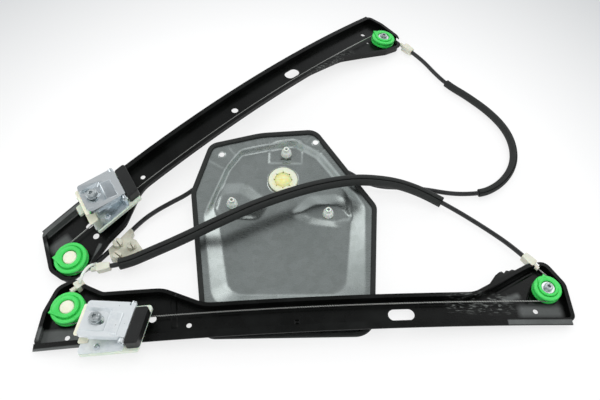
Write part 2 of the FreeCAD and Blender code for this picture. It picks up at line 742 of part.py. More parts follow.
def makePanel():
    rim = prism(rounded(grown(panelOutline, -0.8)), -panelSheet, 0)
    outside = lofted(grown(panTop, panelSheet), grown(panFloor, panelSheet), 0, -panDepth - panelSheet)
    inside = lofted(panTop, panFloor, 0, -panDepth)
    opening = prism(rounded(panTop), -panelSheet - 1, 1)
    panel = rim.cut(opening).fuse(outside.cut(inside).cut(block(-200, 200, -300, 200, 0, 5)))
    crest = islandRise - panDepth
    for top, foot in islands:
        panel = panel.fuse(lofted(top, foot, crest, -panDepth))
        under = lofted(grown(top, -0.6), grown(foot, -0.6), crest - panelSheet, -panDepth - panelSheet - 0.01)
        panel = panel.cut(under)
    for x, y in cornerHoles:
        panel = panel.cut(rod(cornerHole, -3, 3, x, y))
    panel = panel.cut(rod(hubOpening, -panDepth - 4, -panDepth + 4))
    for x, y, rise in postPlaces:
        panel = panel.cut(rod(postHole, -panDepth - 4, -panDepth + 5, x, y))
    return placed(panel.removeSplitter(), panelPlacement())


def makeGasket():
    outer = prism(rounded(grown(panelOutline, 0.8)), 0, gasketHeight)
    inner = prism(rounded(grown(panelOutline, 0.8 - gasketWidth)), -1, gasketHeight + 1)
    ring = outer.cut(inner)
    tops = [edge for edge in ring.Edges if edge.BoundBox.ZMin > gasketHeight - 0.01]
    return placed(ring.makeChamfer(0.9, tops), panelPlacement())


def makeHousing():
    """Moulded cup for the drum with three arms, their posts and two conduit sockets."""
    top = -panDepth - panelSheet
    bottom = top - cupDepth
    inner = drumRadius + drumGap
    pieces = [rod(inner + cupWall, bottom, top)]
    for x, y, rise in postPlaces:
        reach = math.hypot(x, y)
        arm = block(0, reach, -armHalf, armHalf, top - armSheet, top).fuse(rod(armHalf, top - armSheet, top, reach))
        arm.rotate(Vector(0, 0, 0), Vector(0, 0, 1), math.degrees(math.atan2(y, x)))
        pieces.append(arm)
        seat = top + rise
        if rise > 0:
            pieces.append(rod(bossRadius, top - 1, seat, x, y))
        crown = seat + panelSheet
        head = [(0, crown + postHead[0][1])] + [(r, crown + h) for r, h in postHead] + [(0, crown + postHead[-1][1])]
        head = spun(head)
        head.translate(Vector(x, y, 0))
        pieces.append(rod(postRadius, top - 1, crown + 1, x, y).fuse(head))
    for side in (-1, 1):
        pieces.append(socketRod(socketRadius, 0, socketReach, side))
    body = joined(pieces)
    body = body.cut(rod(inner, bottom + cupFloor, top + 1))
    for side in (-1, 1):
        body = body.cut(socketRod(wireBore, 0, socketReach + 2, side))
        body = body.cut(socketRod(ferruleRadius, socketReach - ferruleDepth, socketReach + 2, side))
    for x, y, rise in postPlaces:
        body = body.cut(rod(postBore, top - armSheet - 1, top + rise + 20, x, y))
    body = body.fuse(rod(spigotRadius, bottom, bottom + cupFloor + spigotHeight))
    return placed(body.removeSplitter(), panelPlacement())


def socketRod(radius, start, stop, side):
    """Cylinder along one of the wire's lines off the drum."""
    middle = -panDepth - panelSheet - cupDepth / 2
    return Part.makeCylinder(
        radius, stop - start, Vector(side * start, drumRadius - 1, middle), Vector(side, 0, 0))


def makeDrum():
    """Grooved cable drum with its splined drive bore facing the panel opening."""
    top = -panDepth - panelSheet
    low = top - cupDepth + cupFloor + 0.3
    high = top - 0.8
    hubTop = -panDepth + 1.2
    profile = [(0, low), (drumRadius - 0.5, low), (drumRadius, low + 0.5)]
    pitch = (high - low - 1.6) / drumGrooves
    for index in range(drumGrooves):
        start = low + 0.8 + index * pitch
        profile += [(drumRadius, start + 0.3), (drumRadius - 1.2, start + 0.9),
                    (drumRadius - 1.2, start + pitch - 0.9), (drumRadius, start + pitch - 0.3)]
    profile += [(drumRadius, high - 0.5), (drumRadius - 0.5, high), (hubRadius, high), (hubRadius, hubTop - 0.6),
                (hubRadius - 0.8, hubTop), (0, hubTop)]
    drum = spun(profile)
    drum = drum.cut(rod(driveBore, hubTop - driveDepth, hubTop + 1))
    drum = drum.cut(rod(spigotRadius + runningFit, low - 1, low + spigotHeight + 0.3))
    for tooth in range(driveTeeth):
        angle = 2 * math.pi * tooth / driveTeeth
        drum = drum.cut(rod(driveTooth, hubTop - driveDepth, hubTop + 1, (driveBore + 0.4) * math.cos(angle),
                            (driveBore + 0.4) * math.sin(angle)))
    return placed(drum, panelPlacement())


def makeFerrule(side):
    """Ferrule pressed into a socket, with a collar against its mouth."""
    stop = socketReach + ferruleLip
    solid = socketRod(ferruleRadius, socketReach - ferruleDepth, stop, side)
    solid = solid.fuse(socketRod(socketRadius, socketReach + 0.2, socketReach + 1.8, side))
    solid = solid.cut(socketRod(wireBore, 0, stop + 1, side))
    return placed(solid.removeSplitter(), panelPlacement())


# Conduits, sleeves and clip


def ferruleLine(side):
    """Ferrule mouth and the point that a conduit leaves it towards."""
    middle = -panDepth - panelSheet - cupDepth / 2
    mouth = socketReach + ferruleLip
    return [panelPlacement().multVec(Vector(side * reach, drumRadius - 1, middle))
            for reach in (mouth + 0.1, mouth + ferruleLead)]


def fittingLine(rail, end):
    """End face of a fitting and a point that a conduit leaves it towards, in the part's frame."""
    heading, reach, length, opening = exitOf(rail, end)
    points = []
    for past in (0.1, conduitLead):
        marker = Part.Vertex(exitPlacement(rail, end, reach + length + past).Base)
        points.append(onRail(rail, marker).Point)
    return points


def routeEdges(points, label):
    """Straight runs joined by tangent arcs, as large as the runs allow."""
    edges = []
    last = points[0]
    radii = []
    for index in range(1, len(points) - 1):
        here = points[index]
        before = points[index - 1] - here
        after = points[index + 1] - here
        shorter = min(before.Length, after.Length)
        into = before.normalize()
        out = after.normalize()
        turn = math.pi - into.getAngle(out)
        cut = 0.45 * shorter
        radius = cut / math.tan(turn / 2)
        radii.append(radius)
        first = here + into * cut
        final = here + out * cut
        middle = here + (into + out).normalize() * (radius / math.cos(turn / 2) - radius)
        edges.append(Part.LineSegment(last, first).toShape())
        edges.append(Part.Arc(first, middle, final).toShape())
        last = final
    edges.append(Part.LineSegment(last, points[-1]).toShape())
    print(label, "radii", [round(value) for value in radii], "length", round(sum(e.Length for e in edges)))
    return edges


def tubeAlong(edges, outer, inner, label):
    """Tube of eight sided section along part of a route, hollow where inner is given."""
    start = edges[0].Vertexes[0].Point
    heading = edges[0].Vertexes[-1].Point - start
    path = Part.Wire(edges)
    section = polygonFace(outer, start, heading, cordSides)
    solid = path.makePipeShell([section.OuterWire], True, False)
    print(label, "volume ratio", round(solid.Volume / (section.Area * path.Length), 4))
    if inner > 0:
        hollow = polygonFace(inner, start, heading, cordSides)
        solid = solid.cut(path.makePipeShell([hollow.OuterWire], True, False))
    return solid


def routed(points):
    return [Vector(*point) - layoutMiddle for point in points]


conduitOneRoute = [
    (56, 29.5, 14.3), (70, 20, 12), (90, 14, 9), (114, 15, 7), (142, 14, 6), (172, 7, 7), (198, 7, 8)]
loopRoute = [
    (214, 11, 8), (233, 25, 8), (248, 48, 8), (253, 75, 8), (248, 104, 8), (232, 132, 8), (207, 159, 8), (186, 177, 8)]
conduitOneEnd = [(171, 197, 8)]
longSleeveRoute = [
    (-158, -89, 22), (-124, -78, 33), (-82, -56, 39), (-43, -35, 41), (0, -17, 42), (32, -7, 42),
    (60, -1, 41), (86, 2, 36), (110, 4, 28), (134, 1, 19), (156, -7, 12)]
conduitTwoEnd = [(178, -20, 9), (203, -39, 8)]
conduitThreeRoute = [
    (-94, 28.5, 15), (-106, 18, 14), (-117, 6, 12.5), (-129, -4.5, 11), (-144, -14, 10), (-162, -27, 9),
    (-176, -42, 9), (-189, -62, 9), (-203, -79.5, 9.5), (-212.7, -95.7, 12.3)]
linerRoute = [
    (-216.8, -100.0, 15.8), (-219.5, -104.2, 17.8), (-222, -109.5, 18.2), (-223.8, -115.2, 17.6), (-224.8, -119, 15.9),
    (-225.1, -120.4, 14.0)]
linerLead = 1.5

conduitOne = routeEdges(
    ferruleLine(1) + routed(conduitOneRoute + loopRoute + conduitOneEnd) + fittingLine(railA, 1)[::-1],
    "conduit one")
conduitTwo = routeEdges(
    fittingLine(railA, -1) + routed(longSleeveRoute + conduitTwoEnd) + fittingLine(railB, 1)[::-1], "conduit two")
conduitThree = routeEdges(ferruleLine(-1) + routed(conduitThreeRoute), "conduit three")
away = Vector(*conduitThreeRoute[-1]) - Vector(*conduitThreeRoute[-2])
bare = routed(conduitThreeRoute)[-1]
liner = routeEdges([bare, bare + away.normalize() * linerLead] + routed(linerRoute), "liner")
for rail in (railA, railB):
    for end in (-1, 1):
        print("fitting", rail["name"], end, [
            tuple(round(value, 1) for value in point + layoutMiddle) for point in fittingLine(rail, end)])


def makeClip():
    """Moulded clip beside rail a that holds the end of conduit three and the long sleeve."""
    pieces = [prism(rounded(clipOutline), clipLow, clipHigh)]
    for x, y, radius, turn in clipBosses:
        pieces.append(rod(radius, clipHigh - 1, clipBossTop, x, y))
    body = joined(pieces)
    for x, y, radius, turn in clipBosses:
        slot = block(-radius - 1, radius + 1, -clipSlot / 2, clipSlot / 2, clipHigh, clipBossTop + 1)
        body = body.cut(placed(slot, Placement(Vector(x, y, 0), Rotation(Vector(0, 0, 1), turn))))
    body.translate(-layoutMiddle)
    body = body.cut(tubeAlong(conduitThree, conduitRadius + runningFit, 0, "clip channel"))
    return body.cut(tubeAlong(conduitTwo[:5], longSleeveRadius + runningFit, 0, "clip saddle"))


parts = dict(
    rail_a=makeRail(railA, [(9, 27, 8, 8), (104, 28, 20, 13), (117 - wheelReach, 26, 5.5, 5.5),
                            (38 - wheelReach, 20, 9, 6), (35 - wheelReach, 4, 7, 7),
                            (wheelReach - 10, 28, 5.5, 5.5), (wheelReach - 18, 12, 3, 3)]),
    rail_b=makeRail(railB, [(90, 26, 27, 13), (123 - wheelReach, 26, 5.5, 5.5), (86 - wheelReach, 16, 8, 8),
                            (1 - wheelReach, 29, 5.5, 5.5), (wheelReach - 16, 25, 5.5, 5.5)]),
    drive_panel=makePanel(),
    panel_gasket=makeGasket(),
    drum_housing=makeHousing(),
    cable_drum=makeDrum(),
    drum_ferrule_a=makeFerrule(1),
    drum_ferrule_b=makeFerrule(-1),
)
for rail in (railA, railB):
    hand = rail["name"]
    parts["wheel_" + hand + "_left"] = makeWheel(rail, -1)
    parts["wheel_" + hand + "_right"] = makeWheel(rail, 1)
    parts["hub_rivet_" + hand] = makeHubRivet(rail)
    parts["hub_bolt_" + hand] = makeHubBolt(rail)
    parts["hub_washer_" + hand] = makeHubWasher(rail)
    parts["end_fitting_" + hand + "_left"] = makeFitting(rail, -1)
    parts["end_fitting_" + hand + "_right"] = makeFitting(rail, 1)
    parts["slide_shoe_" + hand] = makeShoe(hand)
    parts["wire_nipples_" + hand] = makeNipples(hand)
    parts["base_plate_" + hand] = makeBasePlate(hand)
    parts["base_pad_" + hand] = makeBasePad(hand)
    parts["base_rivet_" + hand] = makeBaseRivet(hand)
    parts["clamp_nut_" + hand] = makeNut(hand)
    parts["hinge_pin_" + hand] = makeHingePin(hand)
    parts["end_block_" + hand] = makeEndBlock(hand)
    parts["jaw_plate_" + hand] = makeJaw(hand)
    parts["jaw_pad_" + hand] = makeJawPad(hand)
    parts["clamp_washer_" + hand] = makeClampWasher(hand)
    parts["clamp_screw_" + hand] = makeClampScrew(hand)

# What lies along the conduits does not count in the middle of the part
rigid = Part.makeCompound(list(parts.values())).optimalBoundingBox(True, False)
print("box without cords", round(rigid.XMin, 2), round(rigid.XMax, 2), round(rigid.YMin, 2),
      round(rigid.YMax, 2), round(rigid.ZMin, 2), round(rigid.ZMax, 2))
for rail in (railA, railB):
    parts["wire_" + rail["name"]] = makeWire(rail)
parts["conduit_one"] = tubeAlong(conduitOne, conduitRadius, 0, "conduit one")
parts["conduit_two"] = tubeAlong(conduitTwo, conduitRadius, 0, "conduit two")
parts["conduit_three"] = tubeAlong(conduitThree, conduitRadius, 0, "conduit three")
parts["conduit_liner"] = tubeAlong(liner, linerRadius, 0, "liner")
parts["loop_sleeve"] = tubeAlong(conduitOne[15:32], loopSleeveRadius, sleeveBore, "loop sleeve")
parts["long_sleeve"] = tubeAlong(conduitTwo[2:23], longSleeveRadius, sleeveBore, "long sleeve")
parts["conduit_clip"] = makeClip()

os.makedirs("parts", exist_ok=True)
for name, shape in parts.items():
    box = shape.BoundBox
    print(name, "valid", shape.isValid(), "solids", len(shape.Solids), "volume", round(shape.Volume),
          "z", round(box.ZMin, 2), round(box.ZMax, 2))
    shape.exportStep("parts/" + name + ".step")
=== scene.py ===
import json
import math

import bmesh
import bpy
from mathutils import Matrix, Vector, noise
from mathutils.bvhtree import BVHTree

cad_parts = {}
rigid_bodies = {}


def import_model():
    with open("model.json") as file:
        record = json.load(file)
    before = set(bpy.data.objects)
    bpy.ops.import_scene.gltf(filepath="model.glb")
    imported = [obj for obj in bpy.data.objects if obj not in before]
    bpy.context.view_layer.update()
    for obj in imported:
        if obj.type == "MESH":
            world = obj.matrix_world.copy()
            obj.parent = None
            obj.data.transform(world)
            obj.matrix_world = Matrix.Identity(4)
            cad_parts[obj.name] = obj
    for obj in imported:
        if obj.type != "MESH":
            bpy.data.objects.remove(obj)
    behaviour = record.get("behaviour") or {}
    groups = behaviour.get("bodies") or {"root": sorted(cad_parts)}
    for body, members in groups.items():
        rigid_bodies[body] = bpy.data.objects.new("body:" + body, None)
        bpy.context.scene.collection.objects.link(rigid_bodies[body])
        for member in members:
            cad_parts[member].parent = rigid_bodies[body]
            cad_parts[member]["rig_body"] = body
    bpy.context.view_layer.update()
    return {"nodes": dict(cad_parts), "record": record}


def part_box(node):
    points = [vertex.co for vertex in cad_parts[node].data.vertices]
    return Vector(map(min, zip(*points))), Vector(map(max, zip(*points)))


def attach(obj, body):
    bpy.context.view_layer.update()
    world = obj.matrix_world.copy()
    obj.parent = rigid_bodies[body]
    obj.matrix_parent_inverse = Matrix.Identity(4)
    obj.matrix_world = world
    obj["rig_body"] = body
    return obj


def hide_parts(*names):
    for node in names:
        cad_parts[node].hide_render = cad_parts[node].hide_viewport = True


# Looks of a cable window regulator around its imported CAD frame, in metres.
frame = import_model()
nodes = frame["nodes"]
print("frame:", len(nodes), "nodes")

mm = 0.001


# Node and colour helpers


def linear(hexColour):
    # sRGB hex to linear red, green, blue and full alpha
    values = [int(hexColour[i:i + 2], 16) / 255 for i in (1, 3, 5)]
    return [v / 12.92 if v <= 0.04045 else ((v + 0.055) / 1.055) ** 2.4 for v in values] + [1.0]


def perSize(millimetres):
    # pattern scale whose features repeat about every so many millimetres
    return 1000.0 / millimetres


def addNode(tree, kind, inputs=None, **settings):
    # one node: its own options as settings, its sockets as constants or links
    node = tree.nodes.new(kind)
    for name, value in settings.items():
        setattr(node, name, value)
    for name, value in (inputs or {}).items():
        socket = node.inputs[name]
        if isinstance(value, bpy.types.NodeSocket):
            tree.links.new(value, socket)
        else:
            socket.default_value = value
    return node


def newMaterial(name):
    material = bpy.data.materials.new(name)
    material.use_nodes = True
    material.node_tree.nodes.clear()
    return material, material.node_tree


def finishMaterial(tree, shader):
    addNode(tree, "ShaderNodeOutputMaterial", {"Surface": shader.outputs[0]})


def objectPoint(tree):
    return addNode(tree, "ShaderNodeTexCoord").outputs["Object"]


def stretched(tree, vector, scale, turn=(0, 0, 0)):
    return addNode(tree, "ShaderNodeMapping", {"Vector": vector, "Scale": scale, "Rotation": turn}).outputs[0]


def noiseOf(tree, vector, size, detail, roughness=0.5):
    return addNode(tree, "ShaderNodeTexNoise", {
        "Vector": vector, "Scale": perSize(size), "Detail": detail, "Roughness": roughness}).outputs["Fac"]


def spread(tree, value, low, high, fromLow=0.3, fromHigh=0.7):
    # remaps a pattern to the range that a socket needs
    return addNode(tree, "ShaderNodeMapRange", {
        "Value": value, "From Min": fromLow, "From Max": fromHigh, "To Min": low, "To Max": high}).outputs[0]


def twoColours(tree, factor, first, second):
    node = addNode(tree, "ShaderNodeMix", data_type="RGBA")
    tree.links.new(factor, node.inputs[0])
    for index, colour in ((6, first), (7, second)):
        if isinstance(colour, bpy.types.NodeSocket):
            tree.links.new(colour, node.inputs[index])
        else:
            node.inputs[index].default_value = linear(colour)
    return node.outputs[2]


def bumped(tree, height, depth, strength):
    # depth in millimetres
    return addNode(tree, "ShaderNodeBump", {
        "Height": height, "Strength": strength, "Distance": depth * mm}).outputs[0]


def product(tree, first, second):
    return addNode(tree, "ShaderNodeMath", {0: first, 1: second}, operation="MULTIPLY").outputs[0]


def total(tree, first, second):
    return addNode(tree, "ShaderNodeMath", {0: first, 1: second}, operation="ADD").outputs[0]


def wornEdges(tree, sharp, width):
    # 0 to 1 where the surface bulges, for paint and plating rubbed thin along edges
    edge = addNode(tree, "ShaderNodeNewGeometry").outputs["Pointiness"]
    return spread(tree, edge, 0.0, 1.0, sharp, sharp + width)


# Materials, each from what the real surface is


# Rails in the part's plane, in degrees and millimetres. A mark is its two ends (along, across), half width, softness
railPlaces = dict(a=dict(turn=44.77, middle=(-68.62, 33.82), side=1),
                  b=dict(turn=4.11, middle=(10.68, -180.88), side=-1))
# Sheen patches and sheen streaks are painted reflections: lighter grey put in the paint where the flanges and webs
# catch the bright surroundings. Pressed marks are bumps only.
railMarks = dict(
    a=dict(paintedSheen=[((-256, 44.6), (-198, 43.4), 3.6, 1.2), ((-250, 26), (-237, 25), 8.0, 5.0),
                   ((-214, -8), (-240, -23), 2.6, 1.5)],
           paintedSheenStreaks=[((120, 4), (190, 12), 9.0, 6.0)],
           pressed=[((-225, -14), (-248, -6), 1.6, 1.4), ((-165, -4), (-150, 8), 1.2, 1.2)]),
    b=dict(paintedSheen=[((-277, 44.8), (-226, 44.2), 3.2, 1.2), ((-267, 26), (-235, 27), 9.0, 4.0),
                   ((198, 41), (260, 41), 3.4, 1.4), ((219, 25), (251, 25), 10.0, 7.0),
                   ((200, 12.5), (214, 7.5), 5.0, 4.2)],
           paintedSheenStreaks=[((150, 14), (196, 16), 14.0, 8.0)],
           pressed=[((-139.4, -3), (-137.4, 25), 3.6, 1.6), ((194, 3), (245, -25), 2.4, 1.6),
                    ((222, 16), (228, 4), 1.6, 1.4), ((-15.4, 29.5), (-15.0, 29.5), 2.6, 1.6),
                    ((204, -19), (219, -25), 1.4, 1.2)]))


def markMask(tree, point, place, start, stop, half, soft):
    # 1 on a straight mark of a rail, fading over the softness at its sides and ends
    turn = math.radians(place["turn"])
    ends = []
    for along, across in (start, stop):
        ends.append(Matrix.Rotation(turn, 2) @ Vector((along, across * place["side"])) + Vector(place["middle"]))
    middle = (ends[0] + ends[1]) / 2
    run = ends[1] - ends[0]
    heading = math.atan2(run.y, run.x)
    shift = Matrix.Rotation(-heading, 2) @ middle
    local = addNode(tree, "ShaderNodeMapping", {
        "Vector": point, "Scale": (1000, 1000, 1000), "Rotation": (0, 0, -heading),
        "Location": (-shift.x, -shift.y, 0)}).outputs[0]
    parts = addNode(tree, "ShaderNodeSeparateXYZ", {"Vector": local})
    masks = []
    for axis, reach in (("X", run.length / 2 + half), ("Y", half)):
        size = addNode(tree, "ShaderNodeMath", {0: parts.outputs[axis]}, operation="ABSOLUTE").outputs[0]
        masks.append(spread(tree, size, 1, 0, reach - soft, reach))
    return product(tree, *masks)


def makeSatinPaint(name, place, marks):
    # cathodic dip paint on pressed steel: near black, satin, dusty in places, grey where it is rubbed at random, with
    # painted reflections as lighter grey on the listed sheen patches and streaks
    material, tree = newMaterial(name)
    point = objectPoint(tree)
    dust = noiseOf(tree, point, 38, 6, 0.62)
    peel = noiseOf(tree, point, 2.2, 2)
    rubs = noiseOf(tree, stretched(tree, point, (1, 6, 1), (0, 0, 0.6)), 9, 8, 0.7)
    colour = twoColours(tree, spread(tree, dust, 0, 1, 0.42, 0.75), "#060706", "#101211")
    colour = twoColours(tree, spread(tree, rubs, 0, 0.5, 0.68, 0.8), colour, "#3a3d3b")
    # painted reflections: flat lighter grey patches on the flanges and webs, broken up by the dust noise
    for start, stop, half, soft in marks["paintedSheen"]:
        mask = markMask(tree, point, place, start, stop, half, soft)
        colour = twoColours(tree, product(tree, mask, spread(tree, dust, 0.6, 1)), colour, "#636665")
    # painted reflections in streaks: lighter grey along the webs where they catch the bright surroundings
    streaks = noiseOf(tree, stretched(tree, point, (1, 5, 1), (0, 0, -math.radians(place["turn"]))), 7, 6, 0.65)
    for start, stop, half, soft in marks["paintedSheenStreaks"]:
        mask = markMask(tree, point, place, start, stop, half, soft)
        colour = twoColours(tree, product(tree, mask, spread(tree, streaks, 0, 1, 0.54, 0.64)), colour, "#777b78")
    height = product(tree, peel, 0.05)
    for start, stop, half, soft in marks["pressed"]:
        height = total(tree, height, markMask(tree, point, place, start, stop, half, soft))
    shader = addNode(tree, "ShaderNodeBsdfPrincipled", {
        "Base Color": colour, "Roughness": spread(tree, dust, 0.2, 0.36), "IOR": 1.5, "Specular IOR Level": 0.2,
        "Normal": bumped(tree, height, 1.2, 1.0)})
    finishMaterial(tree, shader)
    return material


def makeGalvanised():
    # hot dip galvanised sheet, skin passed: soft grey metal with faint spangle and drawing marks
    material, tree = newMaterial("galvanisedSheet")
    point = objectPoint(tree)
    spangle = addNode(tree, "ShaderNodeTexVoronoi", {
        "Vector": point, "Scale": perSize(7), "Randomness": 1.0}, feature="F1").outputs["Color"]
    spangle = addNode(tree, "ShaderNodeSeparateColor", {"Color": spangle}).outputs[0]
    cloud = noiseOf(tree, point, 55, 4, 0.6)
    drawn = noiseOf(tree, stretched(tree, point, (1, 14, 14)), 5, 6, 0.6)
    colour = twoColours(tree, spread(tree, spangle, 0, 1, 0, 1), "#b5bcb9", "#c1c8c6")
    colour = twoColours(tree, spread(tree, cloud, 0, 0.5), colour, "#a6afac")
    shader = addNode(tree, "ShaderNodeBsdfPrincipled", {
        "Base Color": colour, "Metallic": 1.0, "Roughness": spread(tree, drawn, 0.24, 0.33),
        "Normal": bumped(tree, cloud, 0.5, 0.25)})
    finishMaterial(tree, shader)
    return material


def makeZinc(name, light, dark, low, high, metal=1.0):
    # blue passivated zinc plating: pale bluish metal, mottled, duller where handled
    material, tree = newMaterial(name)
    point = objectPoint(tree)
    mottle = noiseOf(tree, point, 6, 6, 0.65)
    fine = noiseOf(tree, point, 0.9, 3)
    colour = twoColours(tree, spread(tree, mottle, 0, 1), light, dark)
    colour = twoColours(tree, wornEdges(tree, 0.52, 0.08), colour, "#e9eef0")
    shader = addNode(tree, "ShaderNodeBsdfPrincipled", {
        "Base Color": colour, "Metallic": metal, "Roughness": spread(tree, mottle, low, high),
        "Normal": bumped(tree, fine, 0.04, 0.5)})
    finishMaterial(tree, shader)
    return material


def makeWireSteel():
    # bright stranded wire: the lay of the strands shows as slanting light and dark, coarser than real
    material, tree = newMaterial("strandedWire")
    point = objectPoint(tree)
    strands = addNode(tree, "ShaderNodeTexWave", {
        "Vector": point, "Scale": perSize(4.2), "Distortion": 0.4}, wave_type="BANDS", bands_direction="DIAGONAL")
    strands = strands.outputs["Fac"]
    colour = twoColours(tree, strands, "#6f706c", "#c9cac6")
    shader = addNode(tree, "ShaderNodeBsdfPrincipled", {
        "Base Color": colour, "Metallic": 1.0, "Roughness": 0.34, "Normal": bumped(tree, strands, 0.2, 0.6)})
    finishMaterial(tree, shader)
    return material


def makePlastic(name, base, shade, roughness, size, depth, subsurface=0.0, coat=0.0):
    # injection moulded plastic: even colour with slight clouding and a fine spark eroded grain
    material, tree = newMaterial(name)
    point = objectPoint(tree)
    cloud = noiseOf(tree, point, 14, 5, 0.6)
    grain = noiseOf(tree, point, size, 2)
    colour = twoColours(tree, spread(tree, cloud, 0, 1), base, shade)
    shader = addNode(tree, "ShaderNodeBsdfPrincipled", {
        "Base Color": colour, "Roughness": spread(tree, cloud, roughness, roughness + 0.08), "IOR": 1.48,
        "Subsurface Weight": subsurface, "Subsurface Scale": 2 * mm, "Coat Weight": coat, "Coat Roughness": 0.1,
        "Normal": bumped(tree, grain, depth, 0.5)})
    finishMaterial(tree, shader)
    return material


def makeFoam():
    # closed cell foam rubber: matt black with open pores on its skin
    material, tree = newMaterial("foamRubber")
    point = objectPoint(tree)
    pores = addNode(tree, "ShaderNodeTexVoronoi", {"Vector": point, "Scale": perSize(1.3)}).outputs["Distance"]
    dust = noiseOf(tree, point, 12, 6, 0.6)
    colour = twoColours(tree, spread(tree, dust, 0, 1), "#141615", "#232624")
    shader = addNode(tree, "ShaderNodeBsdfPrincipled", {
        "Base Color": colour, "Roughness": spread(tree, dust, 0.62, 0.82), "IOR": 1.5,
        "Normal": bumped(tree, pores, 0.25, 0.5)})
    finishMaterial(tree, shader)
    return material


def makeConduitSkin():
    # extruded nylon jacket: black, smooth along its length, a dull shine
    material, tree = newMaterial("conduitNylon")
    point = objectPoint(tree)
    scuff = noiseOf(tree, point, 7, 7, 0.7)
    colour = twoColours(tree, spread(tree, scuff, 0, 1, 0.4, 0.8), "#0d0e0e", "#26282a")
    shader = addNode(tree, "ShaderNodeBsdfPrincipled", {
        "Base Color": colour, "Roughness": spread(tree, scuff, 0.30, 0.46), "IOR": 1.53,
        "Normal": bumped(tree, scuff, 0.06, 0.4)})
    finishMaterial(tree, shader)
    return material


def makeGreasedHub(centre, reach=16):
    # pale acetal drum hub under a film of yellow grease, thickest within the reach of its middle
    material, tree = newMaterial("greasedAcetal")
    point = objectPoint(tree)
    local = addNode(tree, "ShaderNodeMapping", {
        "Vector": point, "Location": [-v * perSize(reach) for v in centre], "Scale": (perSize(reach),) * 3}).outputs[0]
    ball = addNode(tree, "ShaderNodeTexGradient", {"Vector": local}, gradient_type="SPHERICAL").outputs["Fac"]
    smear = noiseOf(tree, point, 9, 6, 0.62)
    film = spread(tree, total(tree, ball, smear), 0, 1, 0.55, 1.1)
    colour = twoColours(tree, film, "#dfe3cf", "#e9e39a")
    shader = addNode(tree, "ShaderNodeBsdfPrincipled", {
        "Base Color": colour, "Roughness": spread(tree, film, 0.38, 0.14, 0, 1), "IOR": 1.48,
        "Subsurface Weight": 0.12, "Subsurface Scale": 2 * mm, "Normal": bumped(tree, smear, 0.5, 0.5)})
    finishMaterial(tree, shader)
    return material


def makeGrease():
    # lithium grease: yellow, wet and a little see-through, with dragged ridges
    material, tree = newMaterial("yellowGrease")
    point = objectPoint(tree)
    drag = noiseOf(tree, stretched(tree, point, (1, 2.4, 1), (0, 0, 0.7)), 5, 6, 0.6)
    colour = twoColours(tree, spread(tree, drag, 0, 1), "#eee27c", "#e9edc4")
    shader = addNode(tree, "ShaderNodeBsdfPrincipled", {
        "Base Color": colour, "Roughness": spread(tree, drag, 0.12, 0.26), "IOR": 1.46,
        "Subsurface Weight": 0.3, "Subsurface Scale": 3 * mm, "Normal": bumped(tree, drag, 0.5, 0.6)})
    finishMaterial(tree, shader)
    return material


hubMiddle = sum(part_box("cable_drum"), Vector()) / 2
satinPaint = {key: makeSatinPaint("satinDipPaint." + key, railPlaces[key], railMarks[key]) for key in railPlaces}
galvanised = makeGalvanised()
zincClamp = makeZinc("zincClamp", "#dde4e8", "#bcc7cd", 0.16, 0.28)
# a paler copy of the clamp zinc, used on clamp B only: its paleness is painted light standing in for the brighter
# light on that clamp
zincPaintedLight = makeZinc("zincPaintedLight", "#f4f8f9", "#d9e0e4", 0.26, 0.4, 0.5)
zincSmall = makeZinc("zincFastener", "#c6cccd", "#9ba3a5", 0.2, 0.34)
wireSteel = makeWireSteel()
greenAcetal = makePlastic("greenAcetal", "#45da62", "#38cd55", 0.24, 0.8, 0.02, 0.08, 0.2)
creamPlastic = makePlastic("creamNylon", "#f1efdd", "#e4e4cc", 0.36, 0.9, 0.03, 0.1)
shoePlastic = makePlastic("slideAcetal", "#dfe9d9", "#cfdccb", 0.38, 0.9, 0.03, 0.1)
naturalNylon = makePlastic("naturalNylon", "#e2e2d3", "#cfd0bf", 0.4, 0.9, 0.03, 0.12)
clipNylon = makePlastic("clipNylon", "#dcdccc", "#a8a796", 0.36, 7, 0.05, 0.08)
frostedNylon = makePlastic("frostedNylon", "#e9efe8", "#d5ddd4", 0.34, 0.9, 0.03, 0.18)
blackNylon = makePlastic("blackNylon", "#0a0b0b", "#121413", 0.42, 0.7, 0.05)
foamRubber = makeFoam()
conduitSkin = makeConduitSkin()
greasedHub = makeGreasedHub(hubMiddle)
yellowGrease = makeGrease()
print("materials:", len(bpy.data.materials))


# Pieces and their bodies


def bodyOf(node):
    return nodes[node]["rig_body"]


def addPiece(name, mesh, material, body):
    piece = bpy.data.objects.new(name, mesh)
    bpy.context.scene.collection.objects.link(piece)
    mesh.materials.clear()
    mesh.materials.append(material)
    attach(piece, body)
    return piece


def meshFrom(bm, name):
    mesh = bpy.data.meshes.new(name)
    bm.to_mesh(mesh)
    bm.free()
    return mesh


def smoothShade(mesh, angle=32):
    mesh.shade_smooth()
    mesh.set_sharp_from_angle(angle=math.radians(angle))


def thickened(piece, name, millimetres):
    wall = piece.modifiers.new(name, "SOLIDIFY")
    wall.thickness = millimetres * mm
    wall.offset = -1


def raiseFaces(bm, faces, height):
    # the faces drawn out along Z into a solid, height in millimetres
    drawn = bmesh.ops.extrude_face_region(bm, geom=faces)["geom"]
    bmesh.ops.translate(bm, verts=[g for g in drawn if isinstance(g, bmesh.types.BMVert)], vec=(0, 0, height * mm))
    bmesh.ops.recalc_face_normals(bm, faces=bm.faces)


def jointNamed(name):
    # a joint's place in metres and its axis
    joint = next(j for j in frame["record"]["behaviour"]["joints"] if j["name"] == name)
    return Vector(joint["pos_m"]), Vector(joint["axis"])


# Degrees by which a wheel is turned on its axle, so that its nose points as photographed
wheelTurns = dict(wheel_b_left=26, wheel_b_right=-79)

# Vertices closer than this, in millimetres, are one
mergeGap = 0.004


